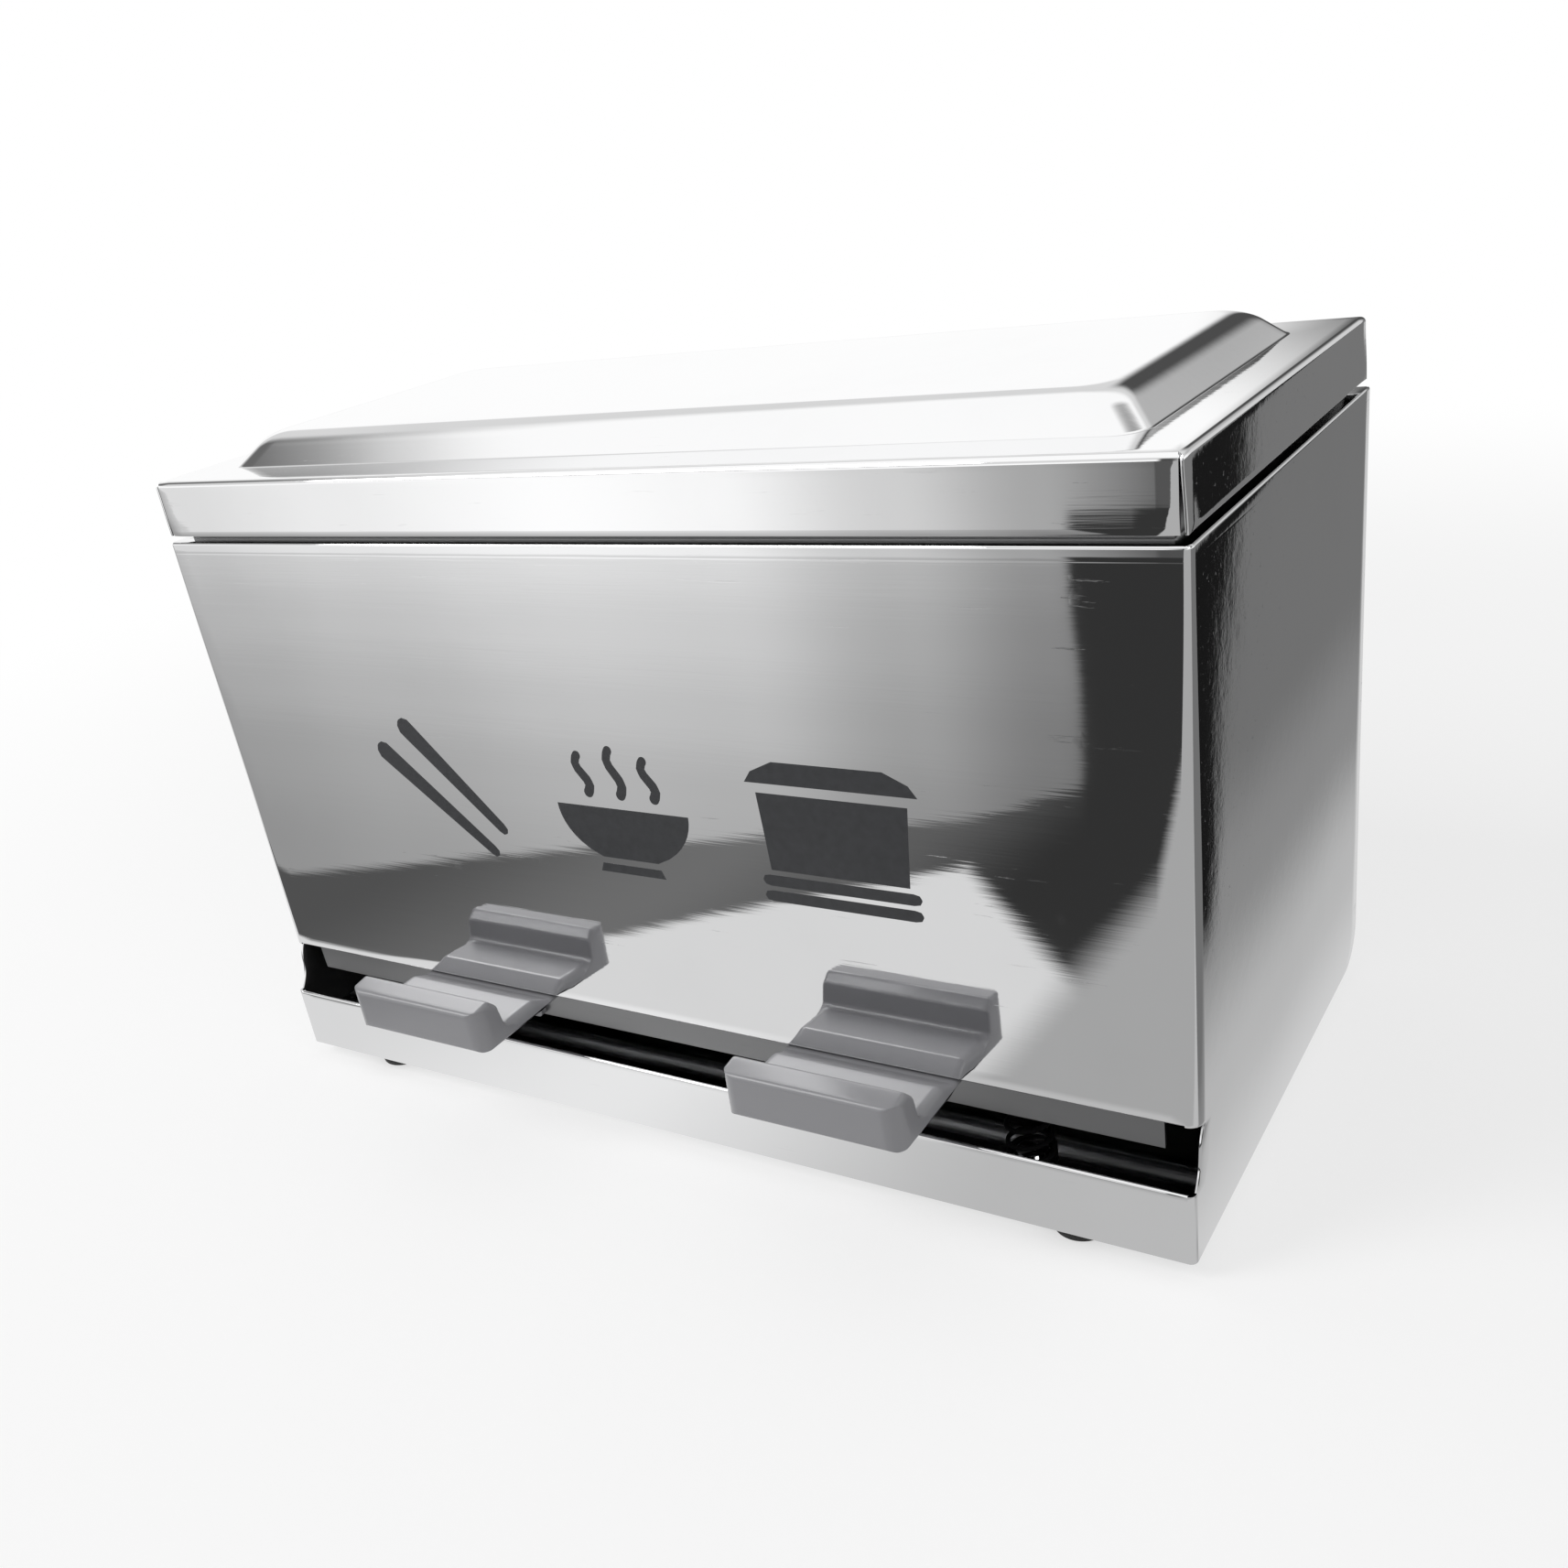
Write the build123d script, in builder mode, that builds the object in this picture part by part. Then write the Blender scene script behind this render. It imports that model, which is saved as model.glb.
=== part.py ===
from build123d import *
import os
from math import cos, radians, tan

# Chopstick holder with flip lid: a folded sheet-steel bin with a hinged lid, a sloped chute
# inside, and a sprung rocker that carries two catch trays in front of the dispensing slot.
# Millimetres. +X along the width, +Y from the front to the back, +Z up.
# The origin lies under the middle of the overall size, on the surface that the feet stand on.

# ---------------------------------------------------------------- driving dimensions
# Body
body_width = 305.0          # outside, over the side walls
body_depth = 138.0          # outside, at the top edge
body_height = 167.0         # from the lower edge of the walls to the ledge under the lid
sheet = 0.7                 # folded sheet of the body, pan, neck and lid
corner_bend = 1.8           # outer radius of the front corners
edge_bend = 1.0             # outer radius of the top edge of the walls
panel_lean = 5.7            # how far the front panel's lower edge stands forward of its top
strip_set = 10.7            # how far the lower strip's top edge stands forward of the panel's top
strip_lean = 0.8            # further lean of the lower strip down to its foot
strip_height = 19.5         # lower strip under the slot
slot_height = 15.7          # between the lower strip and the front panel
hem_height = 5.0            # folded-back hem along both edges of the slot
slot_setback = 0.2          # side walls' cut edges start this far behind the corner bend
slot_bow = 1.0              # and bow inward by this much halfway up
ledge_width = 5.0           # inward ledge round the top of the body
flange_height = 8.0         # upturned and inturned joining flanges
flange_stop = 11.0          # where the chute's side flanges end, short of the back corner
heel_round = 12.0           # radius of the lower rear edge
heel_lap = 7.0              # how far the back wall's foot lies on the pan
lap_gap = 1.0               # pan's side flanges end this far short of that foot

# Lid
lid_inset = 1.4             # lid is narrower than the body by this much on each side
lid_setback = 1.0           # lid front stands back from the top of the front panel
lid_gap = 1.8               # open line between the skirt and the ledge
skirt_height = 15.2         # outside height of the lid's folded skirt
lid_bend = 1.4              # outer radius of the lid's top edge
seam_width = 0.3            # open seam at each folded corner of the skirt
raise_height = 7.5          # height of the pressed middle panel above the border
raise_slope = 8.0           # width of the sloped band round the pressed panel
raise_corner = 7.0          # corner radius of the pressed panel
crown_round = 4.0           # radius round the top of the pressed panel
border_side = 13.6          # flat border beside the pressed panel
border_front = 15.5
border_back = 13.5
neck_clearance = 0.1        # lid underside above the neck that it rests on

# Neck inside the lid
neck_below = 12.0           # how far the neck reaches down inside the body

# Hinges
hinge_from_side = 57.5      # middle of each hinge from the outside of the side wall
hinge_length = 32.0
leaf = 1.0                  # leaf thickness
leaf_height = 12.0
knuckle_radius = 2.2
pin_radius = 1.25
pin_head = 1.8
hinge_fit = 0.05            # radial clearance of pin and rod in their holes
knuckle_gap = 0.3           # end play between knuckles
hinge_rivet_pitch = 18.0

# Rivets, shared by hinges, trays and brackets
rivet_radius = 1.5
rivet_head_radius = 2.7
rivet_head = 0.8
rivet_head_taper = 35.0     # degrees
rivet_fit = 0.05

# Trays
tray_from_end = 51.7        # outer side of each tray from the rocker's end
tray_width = 51.0
tray_reach = 35.3           # tray front ahead of the top of the front panel
tray_underside = 33.3       # heights above the lower edge of the body
tray_rear_top = 34.6
trough_height = 37.4
ridge_height = 47.0
lip_front_height = 45.6
ridge_setback = 6.4         # ridge behind the tray's front face
lip_depth = 10.0            # front face to the bottom of the lip's inner slope
tray_corner = 3.2           # upright corners at the front
lip_front_round = 1.2       # radii of the lip's outline, seen from the side
lip_foot_round = 1.2
ridge_round = 1.0
trough_round = 2.5
tray_wall = 2.2             # wall of the hollow lip
tray_tab_width = 38.0       # rear tab that is riveted to the rocker
tray_tab_drop = 7.0
tray_tab = 2.0
tray_rivet_pitch = 24.0

# Rocker, its rod, brackets and springs
rocker_sheet = 1.0
rocker_room = 8.6           # between each end of the rocker and the inside of the side wall
rocker_set = 3.2            # rocker flange ahead of the top of the front panel
rocker_top = 34.9           # level landing above the lower edge of the body
rocker_flange = 8.8
landing_depth = 29.2
ramp_angle = 20.0
pivot_depth = 62.0          # rod behind the top of the front panel
pivot_height = 38.0
ramp_overrun = 4.0          # rocker reaches past the rod by this much
ear_radius = 6.0
ear_reach = 12.0
rod_radius = 3.0
rod_overhang = 2.5          # rod end beyond the bracket
rod_chamfer = 0.5
bracket_sheet = 1.5
bracket_gap = 1.8           # between rocker ear and bracket
bracket_radius = 7.0
bracket_foot = 16.0         # foot length under the rocker
bracket_depth = 24.0
bracket_rivet_pitch = 14.0
clip = 0.8
clip_radius = 5.5
clip_gap = 0.2
spring_wire = 1.5
spring_radius = 6.0         # middle of the wire
spring_turns = 6.0
spring_from_end = 43.2      # middle of each spring from the rocker's end
spring_depth = 14.0         # behind the top of the front panel
spring_gap = 0.1
boss_radius = 4.4           # pressed boss that keeps the spring in place
boss_height = 2.0

# Chute
chute_lip_depth = 63.5      # lower edge, behind the top of the front panel
chute_lip_height = 51.0     # underside of the lower edge
chute_rise = 45.0
chute_tail = 10.0           # flange up the back wall

# Feet
foot_height = 5.0
foot_radius = 8.5
foot_taper = 1.0
foot_round = 0.8
foot_inset_side = 32.5
foot_inset = 10.5           # from the foot of the strip
foot_from_lap = 5.5         # rear feet from the back wall's foot, to clear their nuts
screw_radius = 2.0
screw_head_radius = 3.4
screw_head = 1.8
screw_recess = 2.4
recess_play = 0.4
screw_fit = 0.1
screw_cross = 3.3           # cross recess in the screw head: overall length, width and depth
screw_cross_width = 0.9
screw_cross_depth = 0.9
screw_end = 1.0             # screw end beyond the nut
nut_flats = 7.0
nut_height = 2.6

# Making
past = 1.0                  # every cut runs past the faces that it goes through by this much

# ---------------------------------------------------------------- places from the sizes
rear_reach = 2 * knuckle_radius
overall_depth = tray_reach + body_depth + rear_reach
front_y = tray_reach - overall_depth / 2
back_y = front_y + body_depth
base_z = foot_height
top_z = base_z + body_height
half_width = body_width / 2
inner_x = half_width - sheet
inner_back_y = back_y - sheet
heel_y = back_y - heel_round
lap_y = heel_y - heel_lap
rocker_width = 2 * (inner_x - rocker_room)
tray_pitch = rocker_width - 2 * tray_from_end - tray_width
spring_spacing = rocker_width - 2 * spring_from_end
hinge_spacing = body_width - 2 * hinge_from_side

strip_top_z = base_z + strip_height
slot_top_z = strip_top_z + slot_height
panel_foot_y = front_y - panel_lean
strip_top_y = front_y - strip_set
strip_foot_y = strip_top_y - strip_lean

skirt_foot_z = top_z + lid_gap
lid_top_z = skirt_foot_z + skirt_height
lid_half = half_width - lid_inset
lid_front_y = front_y + lid_setback
raise_half = lid_half - border_side
raise_front_y = lid_front_y + border_front
raise_back_y = back_y - border_back

neck_half = half_width - ledge_width
neck_front_y = front_y + ledge_width
neck_back_y = back_y - ledge_width
neck_top_z = lid_top_z - sheet - neck_clearance
neck_foot_z = top_z - neck_below

pivot_y = front_y + pivot_depth
pivot_z = base_z + pivot_height
hinge_y = back_y + knuckle_radius
hinge_z = top_z + lid_gap / 2
pan_top_z = base_z + sheet


def save(name, part):
    """Label one finished piece and write it to its own STEP file."""
    part.label = name
    export_step(part, f"parts/{name}.step")


def block(low, high, mode=Mode.ADD):
    """Box between two opposite corners."""
    middle = [(a + b) / 2 for a, b in zip(low, high)]
    size = [b - a for a, b in zip(low, high)]
    with Locations(tuple(middle)):
        Box(*size, mode=mode)


def side_profile(points, from_x, to_x, mode=Mode.ADD):
    """Polygon drawn in the side view and extruded from one X to another."""
    with BuildSketch(Plane.YZ.offset(min(from_x, to_x))) as profile:
        with BuildLine():
            Polyline(*points, close=True)
        make_face()
    extrude(profile.sketch, amount=abs(to_x - from_x), mode=mode)


def panel_y(z):
    """Outer face of the leaning front panel at a height."""
    return front_y - panel_lean * (top_z - z) / (top_z - slot_top_z)


def rivets(places, grip, axis):
    """Domed rivets through a stack of sheets that starts at each place and runs along axis."""
    direction = Vector(*axis)
    for place in places:
        start = Vector(*place)
        with BuildSketch(Plane(origin=start, z_dir=direction)) as shank:
            Circle(rivet_radius)
        extrude(shank.sketch, amount=grip)
        for end, outward in ((start, -direction), (start + direction * grip, direction)):
            with BuildSketch(Plane(origin=end, z_dir=outward)) as head:
                Circle(rivet_head_radius)
            extrude(head.sketch, amount=rivet_head, taper=rivet_head_taper)


def holes(places, depth, radius, axis):
    """Plain holes cut from each place along axis."""
    for place in places:
        with BuildSketch(Plane(origin=place, z_dir=axis)) as hole:
            Circle(radius)
        extrude(hole.sketch, amount=depth, mode=Mode.SUBTRACT)


os.makedirs("parts", exist_ok=True)

# ---------------------------------------------------------------- body
# Front and both sides are one folded sheet. Its top edge turns in to a ledge, and the slot is cut
# across the whole front, so the side walls show their cut edges between the panel and the strip.
with BuildPart() as body_wrap:
    side_profile(
        [
            (front_y, top_z),
            (panel_foot_y, slot_top_z),
            (strip_top_y, strip_top_z),
            (strip_foot_y, base_z),
            (back_y, base_z),
            (back_y, top_z),
        ],
        -half_width,
        half_width,
    )
    heel = body_wrap.edges().filter_by(Axis.X).group_by(Axis.Y)[-1].sort_by(Axis.Z)[0]
    fillet(heel, radius=heel_round)
    upright = body_wrap.edges().filter_by(
        lambda e: abs(abs(e.center().X) - half_width) < 0.01
        and e.center().Y < front_y + 0.01
        and e.bounding_box().size.Z > 1
    )
    fillet(upright, radius=corner_bend)
    rim = body_wrap.faces().sort_by(Axis.Z)[-1].edges().filter_by(
        lambda e: e.center().Y < back_y - 1
    )
    fillet(rim, radius=edge_bend)
    side_profile(
        [
            (front_y + sheet, top_z - sheet),
            (panel_foot_y + sheet, slot_top_z),
            (strip_top_y + sheet, strip_top_z),
            (strip_foot_y + sheet, base_z),
            (strip_foot_y + sheet, base_z - past),
            (back_y + past, base_z - past),
            (back_y + past, top_z - sheet),
        ],
        -inner_x,
        inner_x,
        mode=Mode.SUBTRACT,
    )
    block(
        (-neck_half, neck_front_y, top_z - 2 * sheet),
        (neck_half, back_y + past, top_z + past),
        mode=Mode.SUBTRACT,
    )
    block(
        (-inner_x, inner_back_y, top_z - 2 * sheet),
        (inner_x, back_y + past, top_z + past),
        mode=Mode.SUBTRACT,
    )
    slot_back = corner_bend + slot_setback
    with BuildSketch(Plane.YZ.offset(-half_width - past)):
        with BuildLine():
            upper = (panel_foot_y + slot_back, slot_top_z)
            lower = (strip_top_y + slot_back, strip_top_z)
            bow = ((upper[0] + lower[0]) / 2 + slot_bow, (upper[1] + lower[1]) / 2 - slot_bow)
            outside_y = strip_foot_y - past
            ThreePointArc(upper, bow, lower)
            Polyline(lower, (outside_y, strip_top_z), (outside_y, slot_top_z), upper)
        make_face()
    extrude(amount=body_width + 2 * past, mode=Mode.SUBTRACT)
    # Hems: the sheet is folded back on itself along both edges of the slot.
    panel_hem_y = panel_y(slot_top_z) + sheet
    panel_hem_top_y = panel_y(slot_top_z + hem_height) + sheet
    side_profile(
        [
            (panel_hem_y, slot_top_z),
            (panel_hem_y + sheet, slot_top_z),
            (panel_hem_top_y + sheet, slot_top_z + hem_height),
            (panel_hem_top_y, slot_top_z + hem_height),
        ],
        -inner_x,
        inner_x,
    )
    strip_hem_y = strip_top_y + sheet
    side_profile(
        [
            (strip_hem_y, strip_top_z),
            (strip_hem_y + sheet, strip_top_z),
            (strip_hem_y + sheet, strip_top_z - hem_height),
            (strip_hem_y - strip_lean * hem_height / strip_height, strip_top_z - hem_height),
        ],
        -inner_x,
        inner_x,
    )
save("body_wrap", body_wrap.part)

hinge_sides = (("left", -1), ("right", 1))
body_rivet_z = hinge_z - knuckle_radius - leaf_height / 2 - knuckle_gap
lid_rivet_z = hinge_z + knuckle_radius + leaf_height / 2 + knuckle_gap
body_rivet_places = [
    (side * hinge_spacing / 2 + step * hinge_rivet_pitch / 2, inner_back_y, body_rivet_z)
    for _, side in hinge_sides
    for step in (-1, 1)
]
lid_rivet_places = [(x, y, lid_rivet_z) for x, y, _ in body_rivet_places]

# Back wall: stands between the side walls, rounds the lower edge and laps onto the pan. It has
# flanges along the side walls and its own stretch of ledge.
with BuildPart() as back_panel:
    with BuildSketch(Plane.YZ.offset(-inner_x)):
        with BuildLine():
            FilletPolyline(
                (inner_back_y, top_z),
                (back_y, top_z),
                (back_y, pan_top_z),
                (lap_y, pan_top_z),
                (lap_y, pan_top_z + sheet),
                (inner_back_y, pan_top_z + sheet),
                radius=(0, 0, heel_round - sheet, 0, 0, heel_round - 2 * sheet),
                close=True,
            )
        make_face()
    extrude(amount=2 * inner_x)
    block((-neck_half, neck_back_y, top_z - sheet), (neck_half, back_y, top_z))
    for _, side in hinge_sides:
        low_x, high_x = sorted((side * (inner_x - sheet), side * inner_x))
        block(
            (low_x, inner_back_y - flange_height, base_z + heel_round),
            (high_x, inner_back_y, top_z - sheet),
        )
    holes(
        [(x, y - past, z) for x, y, z in body_rivet_places],
        sheet + 2 * past,
        rivet_radius + rivet_fit,
        (0, 1, 0),
    )
save("back_panel", back_panel.part)

# Bottom pan: upturned flanges inside the walls, holes for feet and brackets, bosses for springs.
foot_x = half_width - foot_inset_side
foot_rows = (strip_foot_y + foot_inset, lap_y - foot_from_lap)
foot_places = [(side * foot_x, y) for y in foot_rows for _, side in hinge_sides]
spring_places = [(side * spring_spacing / 2, front_y + spring_depth) for _, side in hinge_sides]
ear_outer_x = rocker_width / 2
bracket_x = ear_outer_x + bracket_gap
bracket_outer_x = bracket_x + bracket_sheet
bracket_rivet_places = [
    (side * (bracket_outer_x - bracket_foot / 2), pivot_y + step * bracket_rivet_pitch / 2, base_z)
    for _, side in hinge_sides
    for step in (-1, 1)
]
pan_front_y = strip_foot_y + sheet + strip_lean
with BuildPart() as bottom_pan:
    block((-inner_x, pan_front_y, base_z), (inner_x, heel_y, pan_top_z))
    for _, side in hinge_sides:
        low_x, high_x = sorted((side * (inner_x - sheet), side * inner_x))
        block(
            (low_x, pan_front_y, base_z),
            (high_x, lap_y - lap_gap, base_z + flange_height),
        )
    flange_half = inner_x - sheet
    block(
        (-flange_half, pan_front_y, base_z),
        (flange_half, pan_front_y + sheet, base_z + flange_height),
    )
    with Locations(*[(x, y, pan_top_z) for x, y in spring_places]):
        Cylinder(boss_radius, boss_height, align=(Align.CENTER, Align.CENTER, Align.MIN))
    holes(
        [(x, y, base_z - past) for x, y in foot_places],
        sheet + 2 * past,
        screw_radius + screw_fit,
        (0, 0, 1),
    )
    holes(
        [(x, y, z - past) for x, y, z in bracket_rivet_places],
        sheet + 2 * past,
        rivet_radius + rivet_fit,
        (0, 0, 1),
    )
save("bottom_pan", bottom_pan.part)

# Neck: an upright ring inside the ledge. The lid's skirt drops over it and the lid rests on it.
with BuildPart() as neck_frame:
    block((-neck_half, neck_front_y, neck_foot_z), (neck_half, neck_back_y, neck_top_z))
    block(
        (-neck_half + sheet, neck_front_y + sheet, neck_foot_z - past),
        (neck_half - sheet, neck_back_y - sheet, neck_top_z + past),
        mode=Mode.SUBTRACT,
    )
save("neck_frame", neck_frame.part)

# Chute floor: the fixed slope that feeds the rocker.
chute_lip_y = front_y + chute_lip_depth
chute_lip_z = base_z + chute_lip_height
chute_back_z = chute_lip_z + chute_rise
with BuildPart() as chute_floor:
    side_profile(
        [
            (chute_lip_y, chute_lip_z),
            (chute_lip_y, chute_lip_z + sheet),
            (inner_back_y - sheet, chute_back_z + sheet),
            (inner_back_y - sheet, chute_back_z + chute_tail),
            (inner_back_y, chute_back_z + chute_tail),
            (inner_back_y, chute_back_z),
        ],
        -(inner_x - sheet),
        inner_x - sheet,
    )
    run = inner_back_y - chute_lip_y
    stop_y = inner_back_y - flange_stop
    stop_z = chute_lip_z + chute_rise * (stop_y - chute_lip_y) / run
    for _, side in hinge_sides:
        side_profile(
            [
                (chute_lip_y, chute_lip_z + sheet),
                (stop_y, stop_z + sheet),
                (stop_y, stop_z - flange_height),
                (chute_lip_y + flange_height, chute_lip_z),
                (chute_lip_y, chute_lip_z),
            ],
            side * (inner_x - sheet),
            side * inner_x,
        )
save("chute_floor", chute_floor.part)

# ---------------------------------------------------------------- rocker and what carries it
rocker_front_y = front_y - rocker_set
landing_z = base_z + rocker_top
landing_back_y = rocker_front_y + landing_depth
ramp_back_y = pivot_y + ramp_overrun
ramp_back_z = landing_z + (ramp_back_y - landing_back_y) * tan(radians(ramp_angle))
flange_foot_z = landing_z - rocker_flange
bend_shift = rocker_sheet * tan(radians(ramp_angle / 2))
ramp_drop = rocker_sheet / cos(radians(ramp_angle))
tray_tab_z = base_z + tray_underside - tray_tab_drop / 2
tray_rivet_places = [
    (side * tray_pitch / 2 + step * tray_rivet_pitch / 2, rocker_front_y - tray_tab, tray_tab_z)
    for _, side in hinge_sides
    for step in (-1, 1)
]
with BuildPart() as rocker_plate:
    side_profile(
        [
            (rocker_front_y, flange_foot_z),
            (rocker_front_y, landing_z),
            (landing_back_y, landing_z),
            (ramp_back_y, ramp_back_z),
            (ramp_back_y, ramp_back_z - ramp_drop),
            (landing_back_y + bend_shift, landing_z - rocker_sheet),
            (rocker_front_y + rocker_sheet, landing_z - rocker_sheet),
            (rocker_front_y + rocker_sheet, flange_foot_z),
        ],
        -ear_outer_x,
        ear_outer_x,
    )
    ear_front_y = pivot_y - ear_radius - ear_reach
    ear_front_z = landing_z + (ear_front_y - landing_back_y) * tan(radians(ramp_angle))
    for _, side in hinge_sides:
        start_x = min(side * ear_outer_x, side * (ear_outer_x - rocker_sheet))
        with BuildSketch(Plane.YZ.offset(start_x)):
            with BuildLine():
                Polyline(
                    (ear_front_y, ear_front_z - ramp_drop / 2),
                    (ramp_back_y, ramp_back_z - ramp_drop / 2),
                    (pivot_y + ear_radius, pivot_z),
                    (pivot_y - ear_radius, pivot_z),
                    close=True,
                )
            make_face()
            with Locations((pivot_y, pivot_z)):
                Circle(ear_radius)
                Circle(rod_radius + hinge_fit, mode=Mode.SUBTRACT)
        extrude(amount=rocker_sheet)
    with Locations(*[(x, y, landing_z - rocker_sheet) for x, y in spring_places]):
        Cylinder(boss_radius, boss_height, align=(Align.CENTER, Align.CENTER, Align.MAX))
    holes(
        [(x, rocker_front_y - past, z) for x, _, z in tray_rivet_places],
        rocker_sheet + 2 * past,
        rivet_radius + rivet_fit,
        (0, 1, 0),
    )
save("rocker_plate", rocker_plate.part)

# Trays: a floor that runs out from under the front panel and a rounded hollow lip, with a tab
# behind that is riveted to the rocker's flange.
tray_front_y = front_y - tray_reach
tray_floor_z = base_z + tray_underside
for name, side in hinge_sides:
    centre_x = side * tray_pitch / 2
    low_x = centre_x - tray_width / 2
    high_x = centre_x + tray_width / 2
    with BuildPart() as tray:
        with BuildSketch(Plane.YZ.offset(low_x)):
            with BuildLine():
                FilletPolyline(
                    (rocker_front_y, tray_floor_z),
                    (rocker_front_y, base_z + tray_rear_top),
                    (tray_front_y + lip_depth, base_z + trough_height),
                    (tray_front_y + ridge_setback, base_z + ridge_height),
                    (tray_front_y, base_z + lip_front_height),
                    (tray_front_y, tray_floor_z),
                    radius=(0, 0, trough_round, ridge_round, lip_front_round, lip_foot_round),
                    close=True,
                )
            make_face()
        extrude(amount=tray_width)
        # Seen from above, the two front corners are round.
        with BuildSketch(Plane.XY.offset(tray_floor_z)):
            with BuildLine():
                FilletPolyline(
                    (low_x, tray_front_y),
                    (high_x, tray_front_y),
                    (high_x, rocker_front_y),
                    (low_x, rocker_front_y),
                    radius=(tray_corner, tray_corner, 0, 0),
                    close=True,
                )
            make_face()
        extrude(amount=ridge_height - tray_underside, mode=Mode.INTERSECT)
        core_half = tray_width / 2 - tray_corner
        core_top_z = base_z + lip_front_height - tray_wall
        side_profile(
            [
                (tray_front_y + tray_wall, tray_floor_z - past),
                (tray_front_y + tray_wall, core_top_z),
                (tray_front_y + ridge_setback - tray_wall / 4, core_top_z),
                (tray_front_y + lip_depth - tray_wall, tray_floor_z - past),
            ],
            centre_x - core_half,
            centre_x + core_half,
            mode=Mode.SUBTRACT,
        )
        block(
            (centre_x - tray_tab_width / 2, rocker_front_y - tray_tab,
             tray_floor_z - tray_tab_drop),
            (centre_x + tray_tab_width / 2, rocker_front_y, tray_floor_z),
        )
        holes(
            [(x, y - past, z) for x, y, z in tray_rivet_places if x * side > 0],
            tray_tab + 2 * past,
            rivet_radius + rivet_fit,
            (0, 1, 0),
        )
    save(f"{name}_tray", tray.part)

with BuildPart() as tray_rivets:
    rivets(tray_rivet_places, tray_tab + rocker_sheet, (0, 1, 0))
save("tray_rivets", tray_rivets.part)

# Brackets stand on the pan and carry the rod that the rocker turns on.
for name, side in hinge_sides:
    start_x = min(side * bracket_x, side * bracket_outer_x)
    with BuildPart() as bracket:
        with BuildSketch(Plane.YZ.offset(start_x)):
            with BuildLine():
                Polyline(
                    (pivot_y - bracket_depth / 2, pan_top_z),
                    (pivot_y + bracket_depth / 2, pan_top_z),
                    (pivot_y + bracket_radius, pivot_z),
                    (pivot_y - bracket_radius, pivot_z),
                    close=True,
                )
            make_face()
            with Locations((pivot_y, pivot_z)):
                Circle(bracket_radius)
                Circle(rod_radius + hinge_fit, mode=Mode.SUBTRACT)
        extrude(amount=bracket_sheet)
        foot_low_x, foot_high_x = sorted(
            (side * (bracket_outer_x - bracket_foot), side * bracket_outer_x)
        )
        block(
            (foot_low_x, pivot_y - bracket_depth / 2, pan_top_z),
            (foot_high_x, pivot_y + bracket_depth / 2, pan_top_z + bracket_sheet),
        )
        holes(
            [(x, y, z) for x, y, z in bracket_rivet_places if x * side > 0],
            sheet + bracket_sheet + past,
            rivet_radius + rivet_fit,
            (0, 0, 1),
        )
    save(f"{name}_bracket", bracket.part)

with BuildPart() as bracket_rivets:
    rivets(bracket_rivet_places, sheet + bracket_sheet, (0, 0, 1))
save("bracket_rivets", bracket_rivets.part)

rod_half = bracket_outer_x + rod_overhang
with BuildPart() as pivot_rod:
    with BuildSketch(Plane.YZ.offset(-rod_half)):
        with Locations((pivot_y, pivot_z)):
            Circle(rod_radius)
    extrude(amount=2 * rod_half)
    chamfer(pivot_rod.edges().filter_by(GeomType.CIRCLE), length=rod_chamfer)
save("pivot_rod", pivot_rod.part)

for name, side in hinge_sides:
    inner_face = side * (bracket_outer_x + clip_gap)
    with BuildPart() as rod_clip:
        with BuildSketch(Plane.YZ.offset(min(inner_face, inner_face + side * clip))):
            with Locations((pivot_y, pivot_z)):
                Circle(clip_radius)
                Circle(rod_radius + rivet_fit, mode=Mode.SUBTRACT)
        extrude(amount=clip)
    save(f"{name}_rod_clip", rod_clip.part)

# Return springs push the rocker up against the hem of the front panel.
spring_foot_z = pan_top_z + spring_wire / 2 + spring_gap
spring_head_z = landing_z - rocker_sheet - spring_wire / 2 - spring_gap
spring_height = spring_head_z - spring_foot_z
for (name, side), (spring_x, spring_y) in zip(hinge_sides, spring_places):
    with BuildPart() as spring:
        with BuildLine() as coil:
            Helix(
                pitch=spring_height / spring_turns,
                height=spring_height,
                radius=spring_radius,
                center=(spring_x, spring_y, spring_foot_z),
            )
        with BuildSketch(Plane(origin=coil.line @ 0, z_dir=coil.line % 0)):
            Circle(spring_wire / 2)
        sweep(is_frenet=True)
    save(f"{name}_return_spring", spring.part)

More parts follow.
